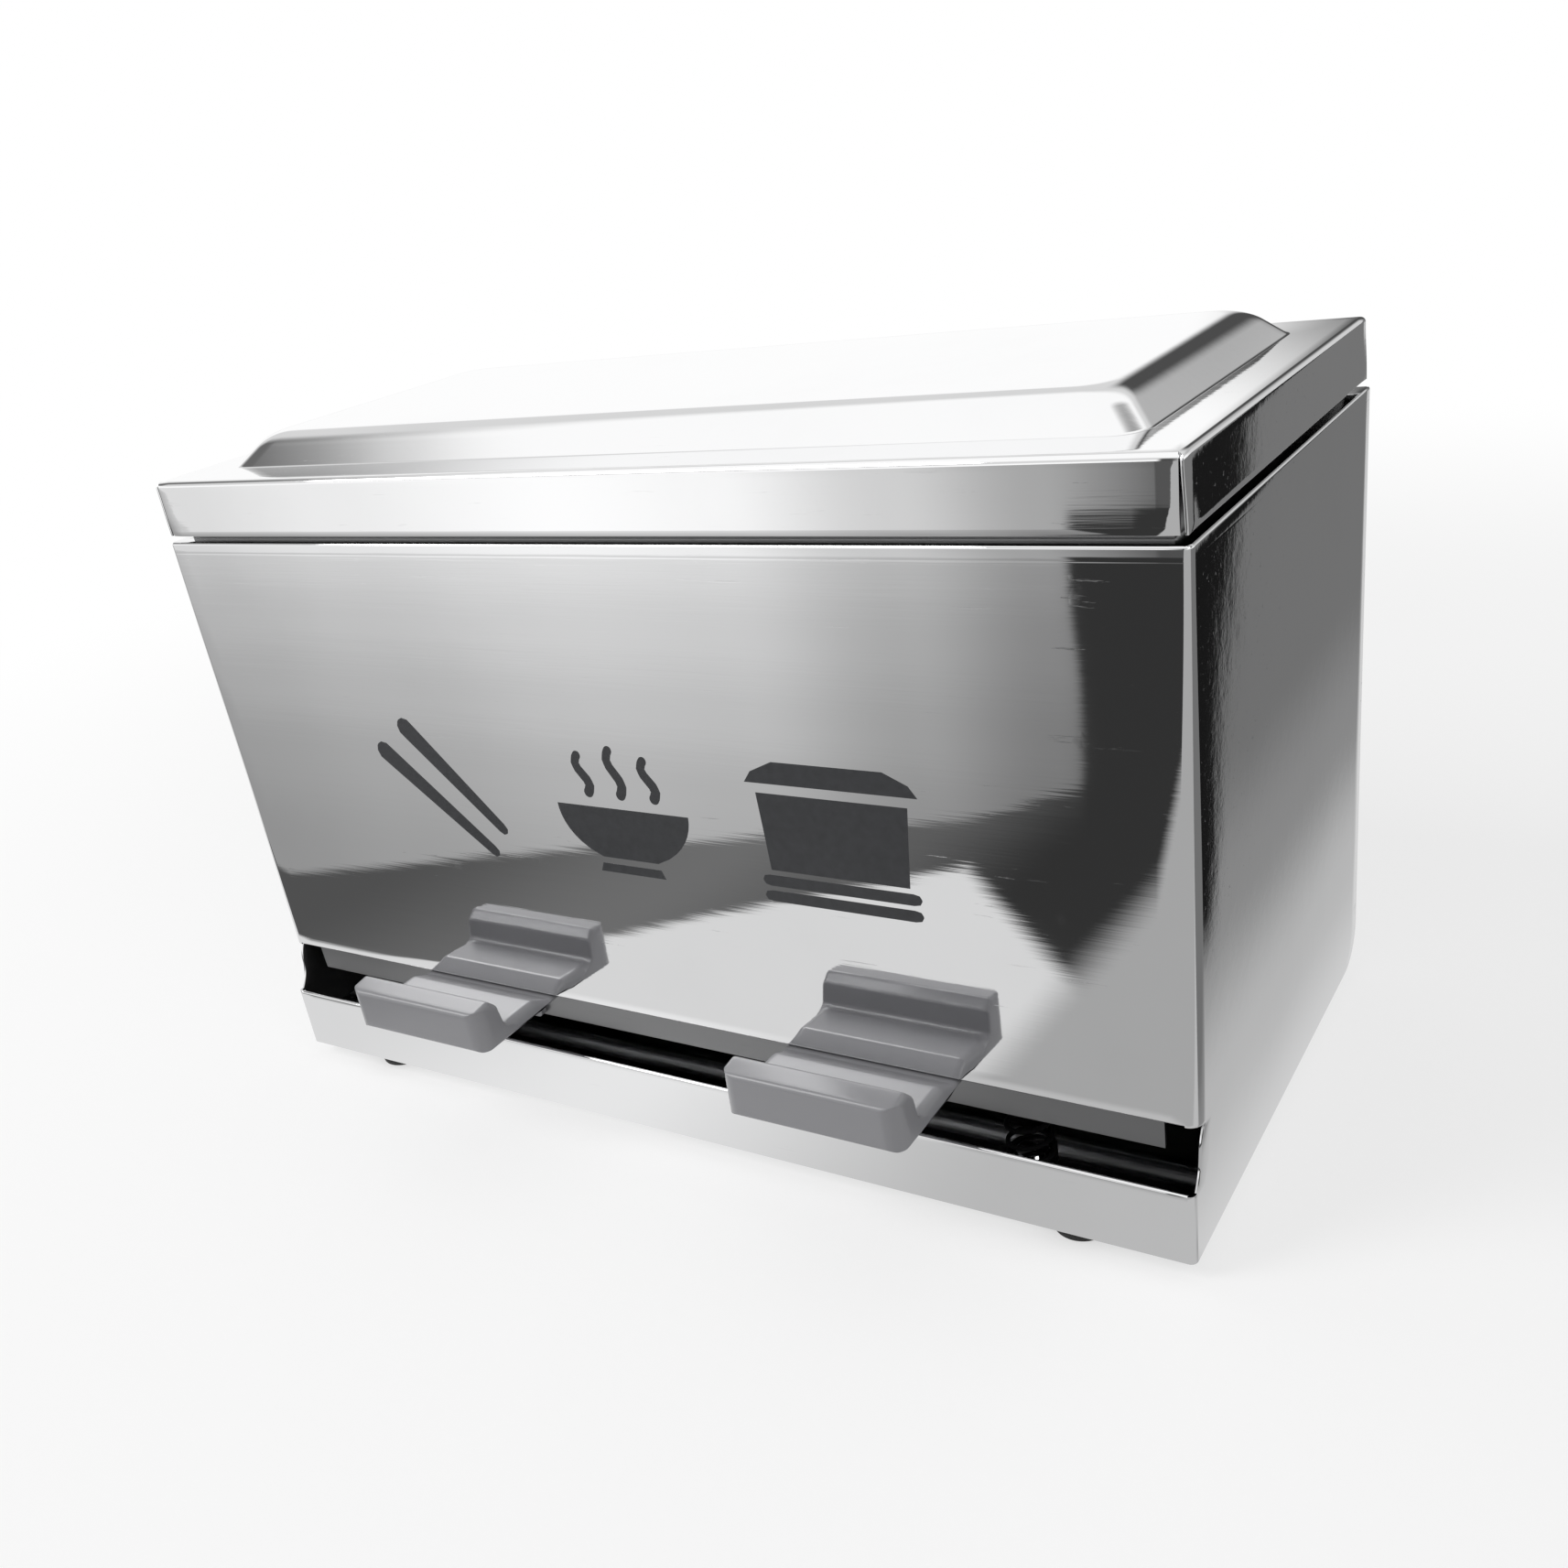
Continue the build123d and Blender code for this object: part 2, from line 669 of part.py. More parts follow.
# ---------------------------------------------------------------- lid
with BuildPart() as lid_cover:
    block((-lid_half, lid_front_y, skirt_foot_z), (lid_half, back_y, lid_top_z))
    fillet(lid_cover.faces().sort_by(Axis.Z)[-1].edges(), radius=lid_bend)
    raise_middle_y = (raise_front_y + raise_back_y) / 2
    raise_size = (2 * raise_half, raise_back_y - raise_front_y)
    crown_size = [length - 2 * raise_slope for length in raise_size]
    with BuildSketch(Plane.XY.offset(lid_top_z)):
        with Locations((0, raise_middle_y)):
            RectangleRounded(*raise_size, raise_corner)
    with BuildSketch(Plane.XY.offset(lid_top_z + raise_height)):
        with Locations((0, raise_middle_y)):
            RectangleRounded(*crown_size, raise_corner)
    loft()
    crown_edges = lid_cover.faces().sort_by(Axis.Z)[-1].edges()
    fillet(crown_edges, radius=crown_round)
    block(
        (-lid_half + sheet, lid_front_y + sheet, skirt_foot_z - past),
        (lid_half - sheet, back_y - sheet, lid_top_z - sheet),
        mode=Mode.SUBTRACT,
    )
    hollow_size = [length - 2 * sheet for length in raise_size]
    hollow_top = [length - 4 * sheet for length in crown_size]
    with BuildSketch(Plane.XY.offset(lid_top_z - sheet)):
        with Locations((0, raise_middle_y)):
            RectangleRounded(*hollow_size, raise_corner - sheet)
    with BuildSketch(Plane.XY.offset(lid_top_z + raise_height - sheet)):
        with Locations((0, raise_middle_y)):
            RectangleRounded(*hollow_top, raise_corner - sheet)
    loft(mode=Mode.SUBTRACT)
    for _, side in hinge_sides:
        seam_x = side * (lid_half - sheet - seam_width / 2)
        for seam_y in (lid_front_y, back_y):
            block(
                (seam_x - seam_width / 2, seam_y - 2 * sheet, skirt_foot_z - past),
                (seam_x + seam_width / 2, seam_y + 2 * sheet, lid_top_z - lid_bend),
                mode=Mode.SUBTRACT,
            )
    holes(
        [(x, y - past, z) for x, y, z in lid_rivet_places],
        sheet + 2 * past,
        rivet_radius + rivet_fit,
        (0, 1, 0),
    )
save("lid_cover", lid_cover.part)

# ---------------------------------------------------------------- hinges
# Each hinge has a body leaf with two end knuckles, a lid leaf with the middle knuckle, and a pin.
mid_knuckle = hinge_length / 3


def hinge_leaf(centre_x, up, spans, rivet_places):
    """Leaf on the back of the body or lid, with knuckles over the given spans of X."""
    near_z = hinge_z + up * (knuckle_radius + knuckle_gap)
    far_z = near_z + up * leaf_height
    block(
        (centre_x - hinge_length / 2, back_y, min(near_z, far_z)),
        (centre_x + hinge_length / 2, back_y + leaf, max(near_z, far_z)),
    )
    for from_x, to_x in spans:
        block(
            (from_x, back_y, min(near_z, hinge_z)),
            (to_x, back_y + leaf, max(near_z, hinge_z)),
        )
        with BuildSketch(Plane.YZ.offset(from_x)) as knuckle:
            with Locations((hinge_y, hinge_z)):
                Circle(knuckle_radius)
        extrude(knuckle.sketch, amount=to_x - from_x)
    holes(
        [(centre_x - hinge_length / 2 - past, hinge_y, hinge_z)],
        hinge_length + 2 * past,
        pin_radius + hinge_fit,
        (1, 0, 0),
    )
    holes(
        [(x, back_y - past, z) for x, _, z in rivet_places],
        leaf + 2 * past,
        rivet_radius + rivet_fit,
        (0, 1, 0),
    )


for name, side in hinge_sides:
    centre_x = side * hinge_spacing / 2
    low_x = centre_x - hinge_length / 2
    high_x = centre_x + hinge_length / 2
    mid_low_x = centre_x - mid_knuckle / 2
    mid_high_x = centre_x + mid_knuckle / 2
    with BuildPart() as body_leaf:
        hinge_leaf(
            centre_x,
            -1,
            [(low_x, mid_low_x - knuckle_gap), (mid_high_x + knuckle_gap, high_x)],
            [place for place in body_rivet_places if place[0] * side > 0],
        )
    save(f"{name}_hinge_body_leaf", body_leaf.part)
    with BuildPart() as lid_leaf:
        hinge_leaf(
            centre_x,
            1,
            [(mid_low_x, mid_high_x)],
            [place for place in lid_rivet_places if place[0] * side > 0],
        )
    save(f"{name}_hinge_lid_leaf", lid_leaf.part)
    with BuildPart() as hinge_pin:
        with BuildSketch(Plane.YZ.offset(low_x)):
            with Locations((hinge_y, hinge_z)):
                Circle(pin_radius)
        extrude(amount=hinge_length)
        for head_x in (low_x - knuckle_gap - leaf, high_x + knuckle_gap):
            with BuildSketch(Plane.YZ.offset(head_x)):
                with Locations((hinge_y, hinge_z)):
                    Circle(pin_head)
            extrude(amount=leaf)
        for neck_x in (low_x - knuckle_gap, high_x):
            with BuildSketch(Plane.YZ.offset(neck_x)):
                with Locations((hinge_y, hinge_z)):
                    Circle(pin_radius)
            extrude(amount=knuckle_gap)
    save(f"{name}_hinge_pin", hinge_pin.part)

with BuildPart() as hinge_body_rivets:
    rivets(body_rivet_places, sheet + leaf, (0, 1, 0))
save("hinge_body_rivets", hinge_body_rivets.part)

with BuildPart() as hinge_lid_rivets:
    rivets(lid_rivet_places, sheet + leaf, (0, 1, 0))
save("hinge_lid_rivets", hinge_lid_rivets.part)

# ---------------------------------------------------------------- feet
foot_names = ("front_left_foot", "front_right_foot", "rear_left_foot", "rear_right_foot")
for name, (foot_at_x, foot_at_y) in zip(foot_names, foot_places):
    with BuildPart() as foot:
        with BuildSketch(Plane.XY):
            with Locations((foot_at_x, foot_at_y)):
                Circle(foot_radius - foot_taper)
        with BuildSketch(Plane.XY.offset(foot_height)):
            with Locations((foot_at_x, foot_at_y)):
                Circle(foot_radius)
        loft()
        fillet(foot.faces().sort_by(Axis.Z)[0].edges(), radius=foot_round)
        with Locations((foot_at_x, foot_at_y, 0)):
            Cylinder(
                screw_head_radius + recess_play,
                screw_recess,
                align=(Align.CENTER, Align.CENTER, Align.MIN),
                mode=Mode.SUBTRACT,
            )
            Cylinder(
                screw_radius + screw_fit,
                foot_height,
                align=(Align.CENTER, Align.CENTER, Align.MIN),
                mode=Mode.SUBTRACT,
            )
    save(name, foot.part)

screw_foot_z = screw_recess - screw_head
screw_top_z = pan_top_z + nut_height + screw_end
with BuildPart() as foot_screws:
    for foot_at_x, foot_at_y in foot_places:
        with BuildSketch(Plane.XY.offset(screw_foot_z)):
            with Locations((foot_at_x, foot_at_y)):
                Circle(screw_head_radius)
        extrude(amount=screw_head)
        with BuildSketch(Plane.XY.offset(screw_recess)):
            with Locations((foot_at_x, foot_at_y)):
                Circle(screw_radius)
        extrude(amount=screw_top_z - screw_recess)
        with BuildSketch(Plane.XY.offset(screw_foot_z)):
            with Locations((foot_at_x, foot_at_y)):
                SlotOverall(screw_cross, screw_cross_width)
                SlotOverall(screw_cross, screw_cross_width, rotation=90)
        extrude(amount=screw_cross_depth, mode=Mode.SUBTRACT)
save("foot_screws", foot_screws.part)

with BuildPart() as foot_nuts:
    with BuildSketch(Plane.XY.offset(pan_top_z)):
        with Locations(*foot_places):
            RegularPolygon(nut_flats / 2, 6, major_radius=False)
            Circle(screw_radius + screw_fit, mode=Mode.SUBTRACT)
    extrude(amount=nut_height)
save("foot_nuts", foot_nuts.part)
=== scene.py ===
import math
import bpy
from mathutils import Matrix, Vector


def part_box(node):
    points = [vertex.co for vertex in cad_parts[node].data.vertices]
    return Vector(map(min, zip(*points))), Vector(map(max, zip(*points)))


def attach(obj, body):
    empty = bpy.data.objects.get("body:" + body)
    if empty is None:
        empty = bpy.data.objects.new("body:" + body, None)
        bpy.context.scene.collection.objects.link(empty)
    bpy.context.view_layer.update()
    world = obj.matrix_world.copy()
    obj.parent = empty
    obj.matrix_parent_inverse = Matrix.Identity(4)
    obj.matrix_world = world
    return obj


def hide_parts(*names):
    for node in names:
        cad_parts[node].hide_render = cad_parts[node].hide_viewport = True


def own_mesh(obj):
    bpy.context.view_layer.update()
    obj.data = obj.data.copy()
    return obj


bl_info = {
    "name": "Chopstick Holder",
    "version": (1, 0, 0),
    "blender": (4, 5, 0),
    "location": "View3D > Sidebar > Holder",
    "description": "Dresses a steel chopstick holder with a flip lid around its frame",
    "category": "Add Mesh",
}

import bmesh
import bpy
from bpy.props import FloatProperty, FloatVectorProperty, PointerProperty
from mathutils import Vector, noise

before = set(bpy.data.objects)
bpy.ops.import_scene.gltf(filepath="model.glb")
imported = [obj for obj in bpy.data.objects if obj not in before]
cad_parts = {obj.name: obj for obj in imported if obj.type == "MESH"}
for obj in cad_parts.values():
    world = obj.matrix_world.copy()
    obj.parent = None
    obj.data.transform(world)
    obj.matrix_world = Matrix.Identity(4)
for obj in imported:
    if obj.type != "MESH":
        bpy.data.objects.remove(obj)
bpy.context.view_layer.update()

QUARTER = math.pi / 2
SIDES = (("left", -1), ("right", 1))
CUT_EDGE = 0.00008  # break along the cut edges of a sheet
FOLD = 1.05  # radius of a folded-back hem, in sheets
POLISH = 0.87  # share of light that the polished sheet gives back

KEY_PLACE, KEY_SIZE = (-1.17, -0.9, 1.3), (1.15, 0.8)
FILL_PLACE, FILL_SIZE = (1.3, -0.5, 1.1), (0.8, 0.8)
CAMERA_PLACE = (0.2451, -0.324, 0.2528)
CAMERA_TURN = (61.574, 8.57, 31.059)  # degrees
CAMERA_SHIFT = (-0.01596, 0.08956)


# ---------------------------------------------------------------- settings
def length(name, description, default):
    """A size in metres that the sidebar shows in the scene's own unit."""
    return FloatProperty(
        name=name, description=description, default=default, unit="LENGTH", precision=5
    )


def colour(name, description, default):
    """A finish's colour, without alpha."""
    return FloatVectorProperty(
        name=name, description=description, default=default, subtype="COLOR", size=3, min=0, max=1
    )


def share(name, description, default):
    """A number between 0 and 1."""
    return FloatProperty(
        name=name, description=description, default=default, min=0, max=1, subtype="FACTOR"
    )


class BodySettings(bpy.types.PropertyGroup):
    """Sizes of the folded body sheet"""

    sheet: length("Sheet", "Thickness of the folded sheet", 0.0007)
    corner_bend: length("Corner Bend", "Outer radius of the upright front corners", 0.0018)
    corner_swell: length("Corner Swell", "How much rounder they are low on the panel", 0.0018)
    edge_bend: length("Edge Bend", "Outer radius of the top edge", 0.0007)
    panel_lean: length("Panel Lean", "Front panel's lower edge ahead of its top", 0.0057)
    strip_set: length("Strip Set", "Lower strip's top edge ahead of the panel's top", 0.0107)
    strip_lean: length("Strip Lean", "Further lean of the strip down to its foot", 0.0008)
    strip_height: length("Strip Height", "Height of the strip under the slot", 0.0195)
    slot_height: length("Slot Height", "Opening between the strip and the panel", 0.0157)
    slot_setback: length("Slot Setback", "Side walls' cut edges behind the corner bend", 0.0002)
    hem_height: length("Hem Height", "Folded-back hem along both edges of the slot", 0.005)
    ledge_width: length("Ledge Width", "Inward ledge round the top", 0.005)
    heel_round: length("Heel Radius", "Radius of the lower rear edge", 0.012)
    score_drop: length("Score Drop", "Scored line below the top edge", 0.003)
    score_width: length("Score Width", "Width of the scored line", 0.0003)
    score_depth: length("Score Depth", "Depth of the scored line", 0.000008)
    ripple: length("Ripple", "How far the flat sheet sinks between its bends", 0.00012)


class LidSettings(bpy.types.PropertyGroup):
    """Sizes of the pressed lid"""

    sheet: length("Sheet", "Thickness of the lid", 0.0007)
    bend: length("Bend", "Outer radius of the lid's top edge", 0.0014)
    seam: length("Seam", "Open seam at each folded corner", 0.0003)
    raise_height: length("Panel Height", "Pressed panel above the border", 0.0075)
    raise_slope: length("Panel Slope", "Width of the sloped band", 0.008)
    raise_corner: length("Panel Corner", "Corner radius of the pressed panel", 0.007)
    raise_foot: length("Panel Foot", "Hollow radius where the slope leaves the border", 0.0012)
    crown_round: length("Crown Radius", "Radius round the top of the pressed panel", 0.0115)
    border_side: length("Side Border", "Flat border beside the pressed panel", 0.0136)
    border_front: length("Front Border", "Flat border ahead of the pressed panel", 0.0155)
    border_back: length("Back Border", "Flat border behind the pressed panel", 0.0135)
    curl: length("Corner Curl", "How far the skirt's cut corners stand off", 0.0003)
    flare: length("Flare", "Side skirts' foot out from their top; front and back twice", 0.0003)
    ripple: length("Ripple", "How far the border sinks between its bends", 0.00015)


class TraySettings(bpy.types.PropertyGroup):
    """Sizes of the moulded catch trays"""

    floor: length("Rear Edge", "Tray's rear edge above its underside", 0.0013)
    trough: length("Floor", "Flat floor above the underside", 0.0041)
    tab_drop: length("Tab", "Rear tab below the underside", 0.007)
    tab: length("Tab Thickness", "Thickness of the rear tab", 0.002)
    tab_width: length("Tab Width", "Width of the rear tab", 0.038)
    lip_front: length("Lip Front", "Top of the front face above the underside", 0.0125)
    ridge_setback: length("Ridge Setback", "Ridge behind the front face", 0.0068)
    brow_setback: length("Brow Setback", "Front face to where the inner wall begins", 0.0093)
    brow_drop: length("Brow Drop", "That edge below the ridge", 0.0026)
    lip_depth: length("Lip Depth", "Front face to the foot of the inner wall", 0.01)
    fall_start: length("Fall Start", "Front face to where the floor turns down", 0.0228)
    fall_end: length("Fall End", "Front face to where it passes under the panel", 0.0287)
    draft: length("Draft", "How much each end leans in up to the ridge", 0.0006)
    corner: length("Corner", "Upright corner radius at the front", 0.0048)
    lip_round: length("Lip Radius", "Radius along both edges of the front face", 0.0014)
    ridge_round: length("Ridge Radius", "Radius along the ridge", 0.0011)
    brow_round: length("Brow Radius", "Radius along the edge behind the ridge", 0.0016)
    trough_round: length("Trough Radius", "Radius where the wall meets the floor", 0.0018)
    fall_round: length("Fall Radius", "Radius where the floor turns down", 0.0024)
    shoulder: length("Shoulder", "Radius where the ridge turns down at both ends", 0.0014)
    edge: length("Edge", "Radius round both ends", 0.0006)
    roll: length("Roll", "Radius where the floor turns down at both ends", 0.0026)
    wall: length("Wall", "Wall of the hollow lip", 0.0022)


class FootSettings(bpy.types.PropertyGroup):
    """Sizes of the rubber feet"""

    taper: length("Taper", "Foot's lower end smaller all round", 0.001)
    sole_round: length("Sole Radius", "Radius round the sole", 0.0008)
    recess: length("Recess", "Depth of the screw recess", 0.0024)
    recess_radius: length("Recess Radius", "Radius of the screw recess", 0.0038)
    bore: length("Bore", "Radius of the screw hole", 0.0021)
    bead: length("Bead", "Mould line round the middle", 0.00012)


class SpringSettings(bpy.types.PropertyGroup):
    """Sizes of the return springs"""

    wire: length("Wire", "Thickness of the spring wire", 0.0013)
    ground: length("Ground", "How much is ground off each end of the coil", 0.0004)
    travel: length("Travel", "How far the coil is pressed down at full tilt", 0.0088)
    turns: FloatProperty(name="Turns", description="Turns of wire in all", default=7.5)


class MarkSettings(bpy.types.PropertyGroup):
    """Sizes of the printed pictograms"""

    pitch: length("Pitch", "Distance between the pictograms", 0.0645)
    middle: length("Height", "Middle of the pictograms above the body's lower edge", 0.0975)
    size: length("Size", "Height of each pictogram", 0.036)
    film: length("Film", "Thickness of the ink", 0.00004)


class FinishSettings(bpy.types.PropertyGroup):
    """Colours and gloss of the finishes"""

    polished: colour("Polished Steel", "Folded body sheet", (0.87, 0.872, 0.877))
    bright: colour("Bright Steel", "Pressed lid", (0.955, 0.956, 0.96))
    # Inner Steel is painted shade: the same steel, darkened so that the inside faces, the parts
    # in the slot and the gap under the lid read as shaded.
    inner: colour("Inner Steel", "Sheet parts inside the body", (0.24, 0.241, 0.244))
    plain: colour("Plain Steel", "Rods, rivets and brackets", (0.62, 0.62, 0.63))
    # Dark Steel is painted shade: the springs are darkened so they read as lying in the slot's
    # shade.
    spring_shade: colour("Dark Steel", "Springs", (0.03, 0.03, 0.031))
    plastic: colour("Grey Plastic", "Trays", (0.118, 0.1172, 0.111))
    rubber: colour("Rubber", "Feet", (0.012, 0.012, 0.013))
    ink: colour("Ink", "Printed pictograms", (0.03, 0.031, 0.034))
    gloss: share("Steel Roughness", "Roughness of the polished sheet", 0.018)
    satin: share("Inner Roughness", "Roughness of the sheet inside the body", 0.3)
    dull: share("Plain Roughness", "Roughness of the plain steel", 0.3)
    matt: share("Dark Roughness", "Roughness of the dark steel", 0.7)


class StageSettings(bpy.types.PropertyGroup):
    """Floor, light and camera"""

    floor_size: length("Floor", "Radius of the floor", 12.0)
    floor_tone: share("Floor Tone", "How light the floor is", 0.95)
    floor_shade: share("Shadow", "How much of the object's shadow the floor keeps", 0.4)
    sky: FloatProperty(name="Sky", description="Light from all round", default=0.58, min=0)
    key: FloatProperty(name="Key", description="Front left softbox", default=18, unit="POWER")
    fill: FloatProperty(name="Fill", description="Right softbox", default=4, unit="POWER")
    lens: FloatProperty(
        name="Lens", description="Focal length", default=34.325, subtype="DISTANCE_CAMERA"
    )


# ---------------------------------------------------------------- shaders
class Value:
    """One output socket, with Python's arithmetic on it."""

    def __init__(self, shader, socket):
        self.shader = shader
        self.socket = socket

    def _math(self, operation, *values):
        """One step of arithmetic."""
        return self.shader.node(
            "ShaderNodeMath", {"operation": operation}, dict(enumerate(values))
        )

    def __add__(self, other):
        return self._math("ADD", self, other)

    def __sub__(self, other):
        return self._math("SUBTRACT", self, other)

    def __rsub__(self, other):
        return self._math("SUBTRACT", other, self)

    def __mul__(self, other):
        return self._math("MULTIPLY", self, other)

    def __truediv__(self, other):
        return self._math("DIVIDE", self, other)

    def __abs__(self):
        return self._math("ABSOLUTE", self)

    __radd__ = __add__
    __rmul__ = __mul__

    def above(self, other):
        """The larger of two values."""
        return self._math("MAXIMUM", self, other)

    def mix(self, factor, other):
        """This value at a factor of 0, and another at 1."""
        return self * (1 - factor) + factor * other

    def step(self, low, high):
        """Smooth step from 0 at low to 1 at high."""
        return self.shader.node(
            "ShaderNodeMapRange",
            {"interpolation_type": "SMOOTHSTEP"},
            {"Value": self, "From Min": low, "From Max": high},
        )

    def ramp(self, *stops):
        """Grey read off a ramp of (place, grey) stops."""
        return self.shader.node(
            "ShaderNodeValToRGB", {"stops": stops, "interpolation": "EASE"}, {"Fac": self}
        )


class Shader:
    """The node tree of a material or of the world."""

    def __init__(self, owner):
        self.owner = owner
        owner.use_nodes = True
        self.tree = owner.node_tree
        self.tree.nodes.clear()

    def node(self, kind, settings=None, sockets=None, output=0):
        """Add a node: first its settings, then the values or links of its sockets."""
        made = self.tree.nodes.new(kind)
        settings = dict(settings or {})
        for index, (place, grey) in enumerate(settings.pop("stops", ())):
            elements = made.color_ramp.elements
            stop = elements[index] if index < 2 else elements.new(place)
            stop.position = place
            stop.color = (grey, grey, grey, 1)
        if "interpolation" in settings:
            made.color_ramp.interpolation = settings.pop("interpolation")
        for name, setting in settings.items():
            setattr(made, name, setting)
        for name, value in (sockets or {}).items():
            if isinstance(value, Value):
                self.tree.links.new(value.socket, made.inputs[name])
            else:
                made.inputs[name].default_value = value
        return Value(self, made.outputs[output]) if len(made.outputs) else made

    def parts(self, vector):
        """The three numbers of a vector."""
        first = self.node("ShaderNodeSeparateXYZ", None, {0: vector})
        return [Value(self, output) for output in first.socket.node.outputs]

    def blend(self, factor, first, second):
        """Colour mixed between two others."""
        return self.node(
            "ShaderNodeMix", {"data_type": "RGBA"}, {0: factor, 6: first, 7: second}, output=2
        )

    def place(self, stretch=(1, 1, 1)):
        """Object coordinates in metres, stretched along each axis."""
        spot = self.node("ShaderNodeTexCoord", output="Object")
        return self.node(
            "ShaderNodeVectorMath", {"operation": "MULTIPLY"}, {0: spot, 1: stretch}
        )

    def noise(self, scale, stretch=(1, 1, 1), detail=3.0, roughness=0.5):
        """Noise of so many cells to a metre."""
        return self.node(
            "ShaderNodeTexNoise",
            None,
            {
                "Vector": self.place(stretch),
                "Scale": scale,
                "Detail": detail,
                "Roughness": roughness,
            },
        )

    def bump(self, height, strength, distance, under=None):
        """Normal of a surface with this height on it."""
        sockets = {"Height": height, "Strength": strength, "Distance": distance}
        if under:
            sockets["Normal"] = under
        return self.node("ShaderNodeBump", None, sockets)

    def ray(self, kind):
        """1 for rays of a kind, such as Camera or Glossy, and 0 for others."""
        return self.node("ShaderNodeLightPath", output=f"Is {kind} Ray")

    def surface(self, colour, gloss, normal, **others):
        """Principled surface, wired to the output of the material that is handed back."""
        sockets = {"Base Color": colour, "Roughness": gloss, "Normal": normal, **others}
        return self.output(self.node("ShaderNodeBsdfPrincipled", None, sockets))

    def output(self, shown, kind="ShaderNodeOutputMaterial"):
        """Wire a surface or a background to the output, and hand back what it belongs to."""
        self.node(kind, None, {"Surface": shown})
        return self.owner


def linear(shade):
    """Light that a grey between black, 0, and white, 1, stands for."""
    return ((shade + 0.055) / 1.055) ** 2.4


def tint(rgb, factor=1.0):
    """Colour with alpha, made lighter or darker."""
    return tuple(min(1, part * factor) for part in rgb) + (1,)


# ---------------------------------------------------------------- finishes
def grain_marks(shader, along):
    """Hairlines of the rolled sheet and stray scratches, 0 to 1, both drawn out along an axis."""
    fine = tuple(1 if axis == along else 60 for axis in range(3))
    hair = shader.noise(30, fine, detail=4)
    slant = tuple(2 if axis == along else 34 for axis in range(3))
    scratch = shader.noise(22, slant, detail=6, roughness=0.62).step(0.66, 0.72)
    return hair, scratch


def polished_steel(name, along, shade, roughness):
    """Mirror-polished sheet with fine grain along an axis, faint smears and a few scratches."""
    shader = Shader(bpy.data.materials.new(name))
    hair, scratch = grain_marks(shader, along)
    smear = shader.noise(14, detail=5, roughness=0.6).step(0.45, 0.75)
    spots = shader.noise(160, detail=2).step(0.66, 0.78)
    colour = shader.blend(smear * 0.3 + scratch * 0.3, tint(shade), tint(shade, 0.92))
    gloss = hair * 0.02 + smear * 0.025 + scratch * 0.1 + spots * 0.03 + roughness
    drawn = tuple(1 if axis == along else 30 for axis in range(3))
    streak = shader.bump(shader.noise(7, drawn, detail=4, roughness=0.6), 0.3, 0.00005)
    sag = shader.bump(shader.noise(17, detail=1), 0.035, 0.004, streak)
    height = hair * 0.25 - scratch * 0.5 + spots * 0.1
    normal = shader.bump(height, 0.03, 0.0004, sag)
    return shader.surface(colour, gloss, normal, Metallic=1.0)


def plain_steel(name, tone, roughness):
    """Dull steel of rods, rivets, springs and brackets."""
    shader = Shader(bpy.data.materials.new(name))
    drawn = shader.noise(60, (1, 12, 12), detail=4)
    cloud = shader.noise(90, detail=4)
    shade = shader.blend(cloud, tint(tone, 0.8), tint(tone, 1.1))
    normal = shader.bump(drawn, 0.12, 0.0003)
    gloss = cloud * 0.18 + roughness
    return shader.surface(shade, gloss, normal, Metallic=1.0)


def grey_plastic(name, finish):
    """Glossy moulded plastic: slight sink marks, fine handling scratches and a trace of dust."""
    shader = Shader(bpy.data.materials.new(name))
    cloud = shader.noise(45, detail=3)
    scuff = shader.noise(70, (1, 14, 14), detail=5, roughness=0.6).step(0.64, 0.74)
    dust = shader.noise(900, detail=2).step(0.68, 0.76)
    base = shader.blend(cloud, tint(finish.plastic, 0.93), tint(finish.plastic, 1.07))
    pale = dust * 0.25 + scuff * 0.12
    shade = shader.blend(pale, base, tint(finish.plastic, 2.4))
    sink = shader.bump(cloud, 0.08, 0.002)
    normal = shader.bump(shader.noise(1400, detail=2) - scuff, 0.05, 0.0002, sink)
    gloss = 0.08 + cloud * 0.05 + scuff * 0.16 + dust * 0.1
    return shader.surface(shade, gloss, normal)


def black_rubber(name, finish):
    """Matt rubber with a fine moulded grain and pale dust in it."""
    shader = Shader(bpy.data.materials.new(name))
    grain = shader.noise(1800, detail=3)
    dust = shader.noise(240, detail=5).step(0.52, 0.8)
    shade = shader.blend(dust * 0.5, tint(finish.rubber), tint(finish.rubber, 5))
    normal = shader.bump(grain, 0.3, 0.0002)
    return shader.surface(shade, 0.6 + dust * 0.2, normal)


def printed_ink(name, finish):
    """Screen-printed ink, a little uneven in cover."""
    shader = Shader(bpy.data.materials.new(name))
    cover = shader.noise(500, detail=4)
    shade = shader.blend(cover, tint(finish.ink, 0.75), tint(finish.ink, 1.35))
    normal = shader.bump(cover, 0.08, 0.0002)
    return shader.surface(shade, 0.32 + cover * 0.16, normal)


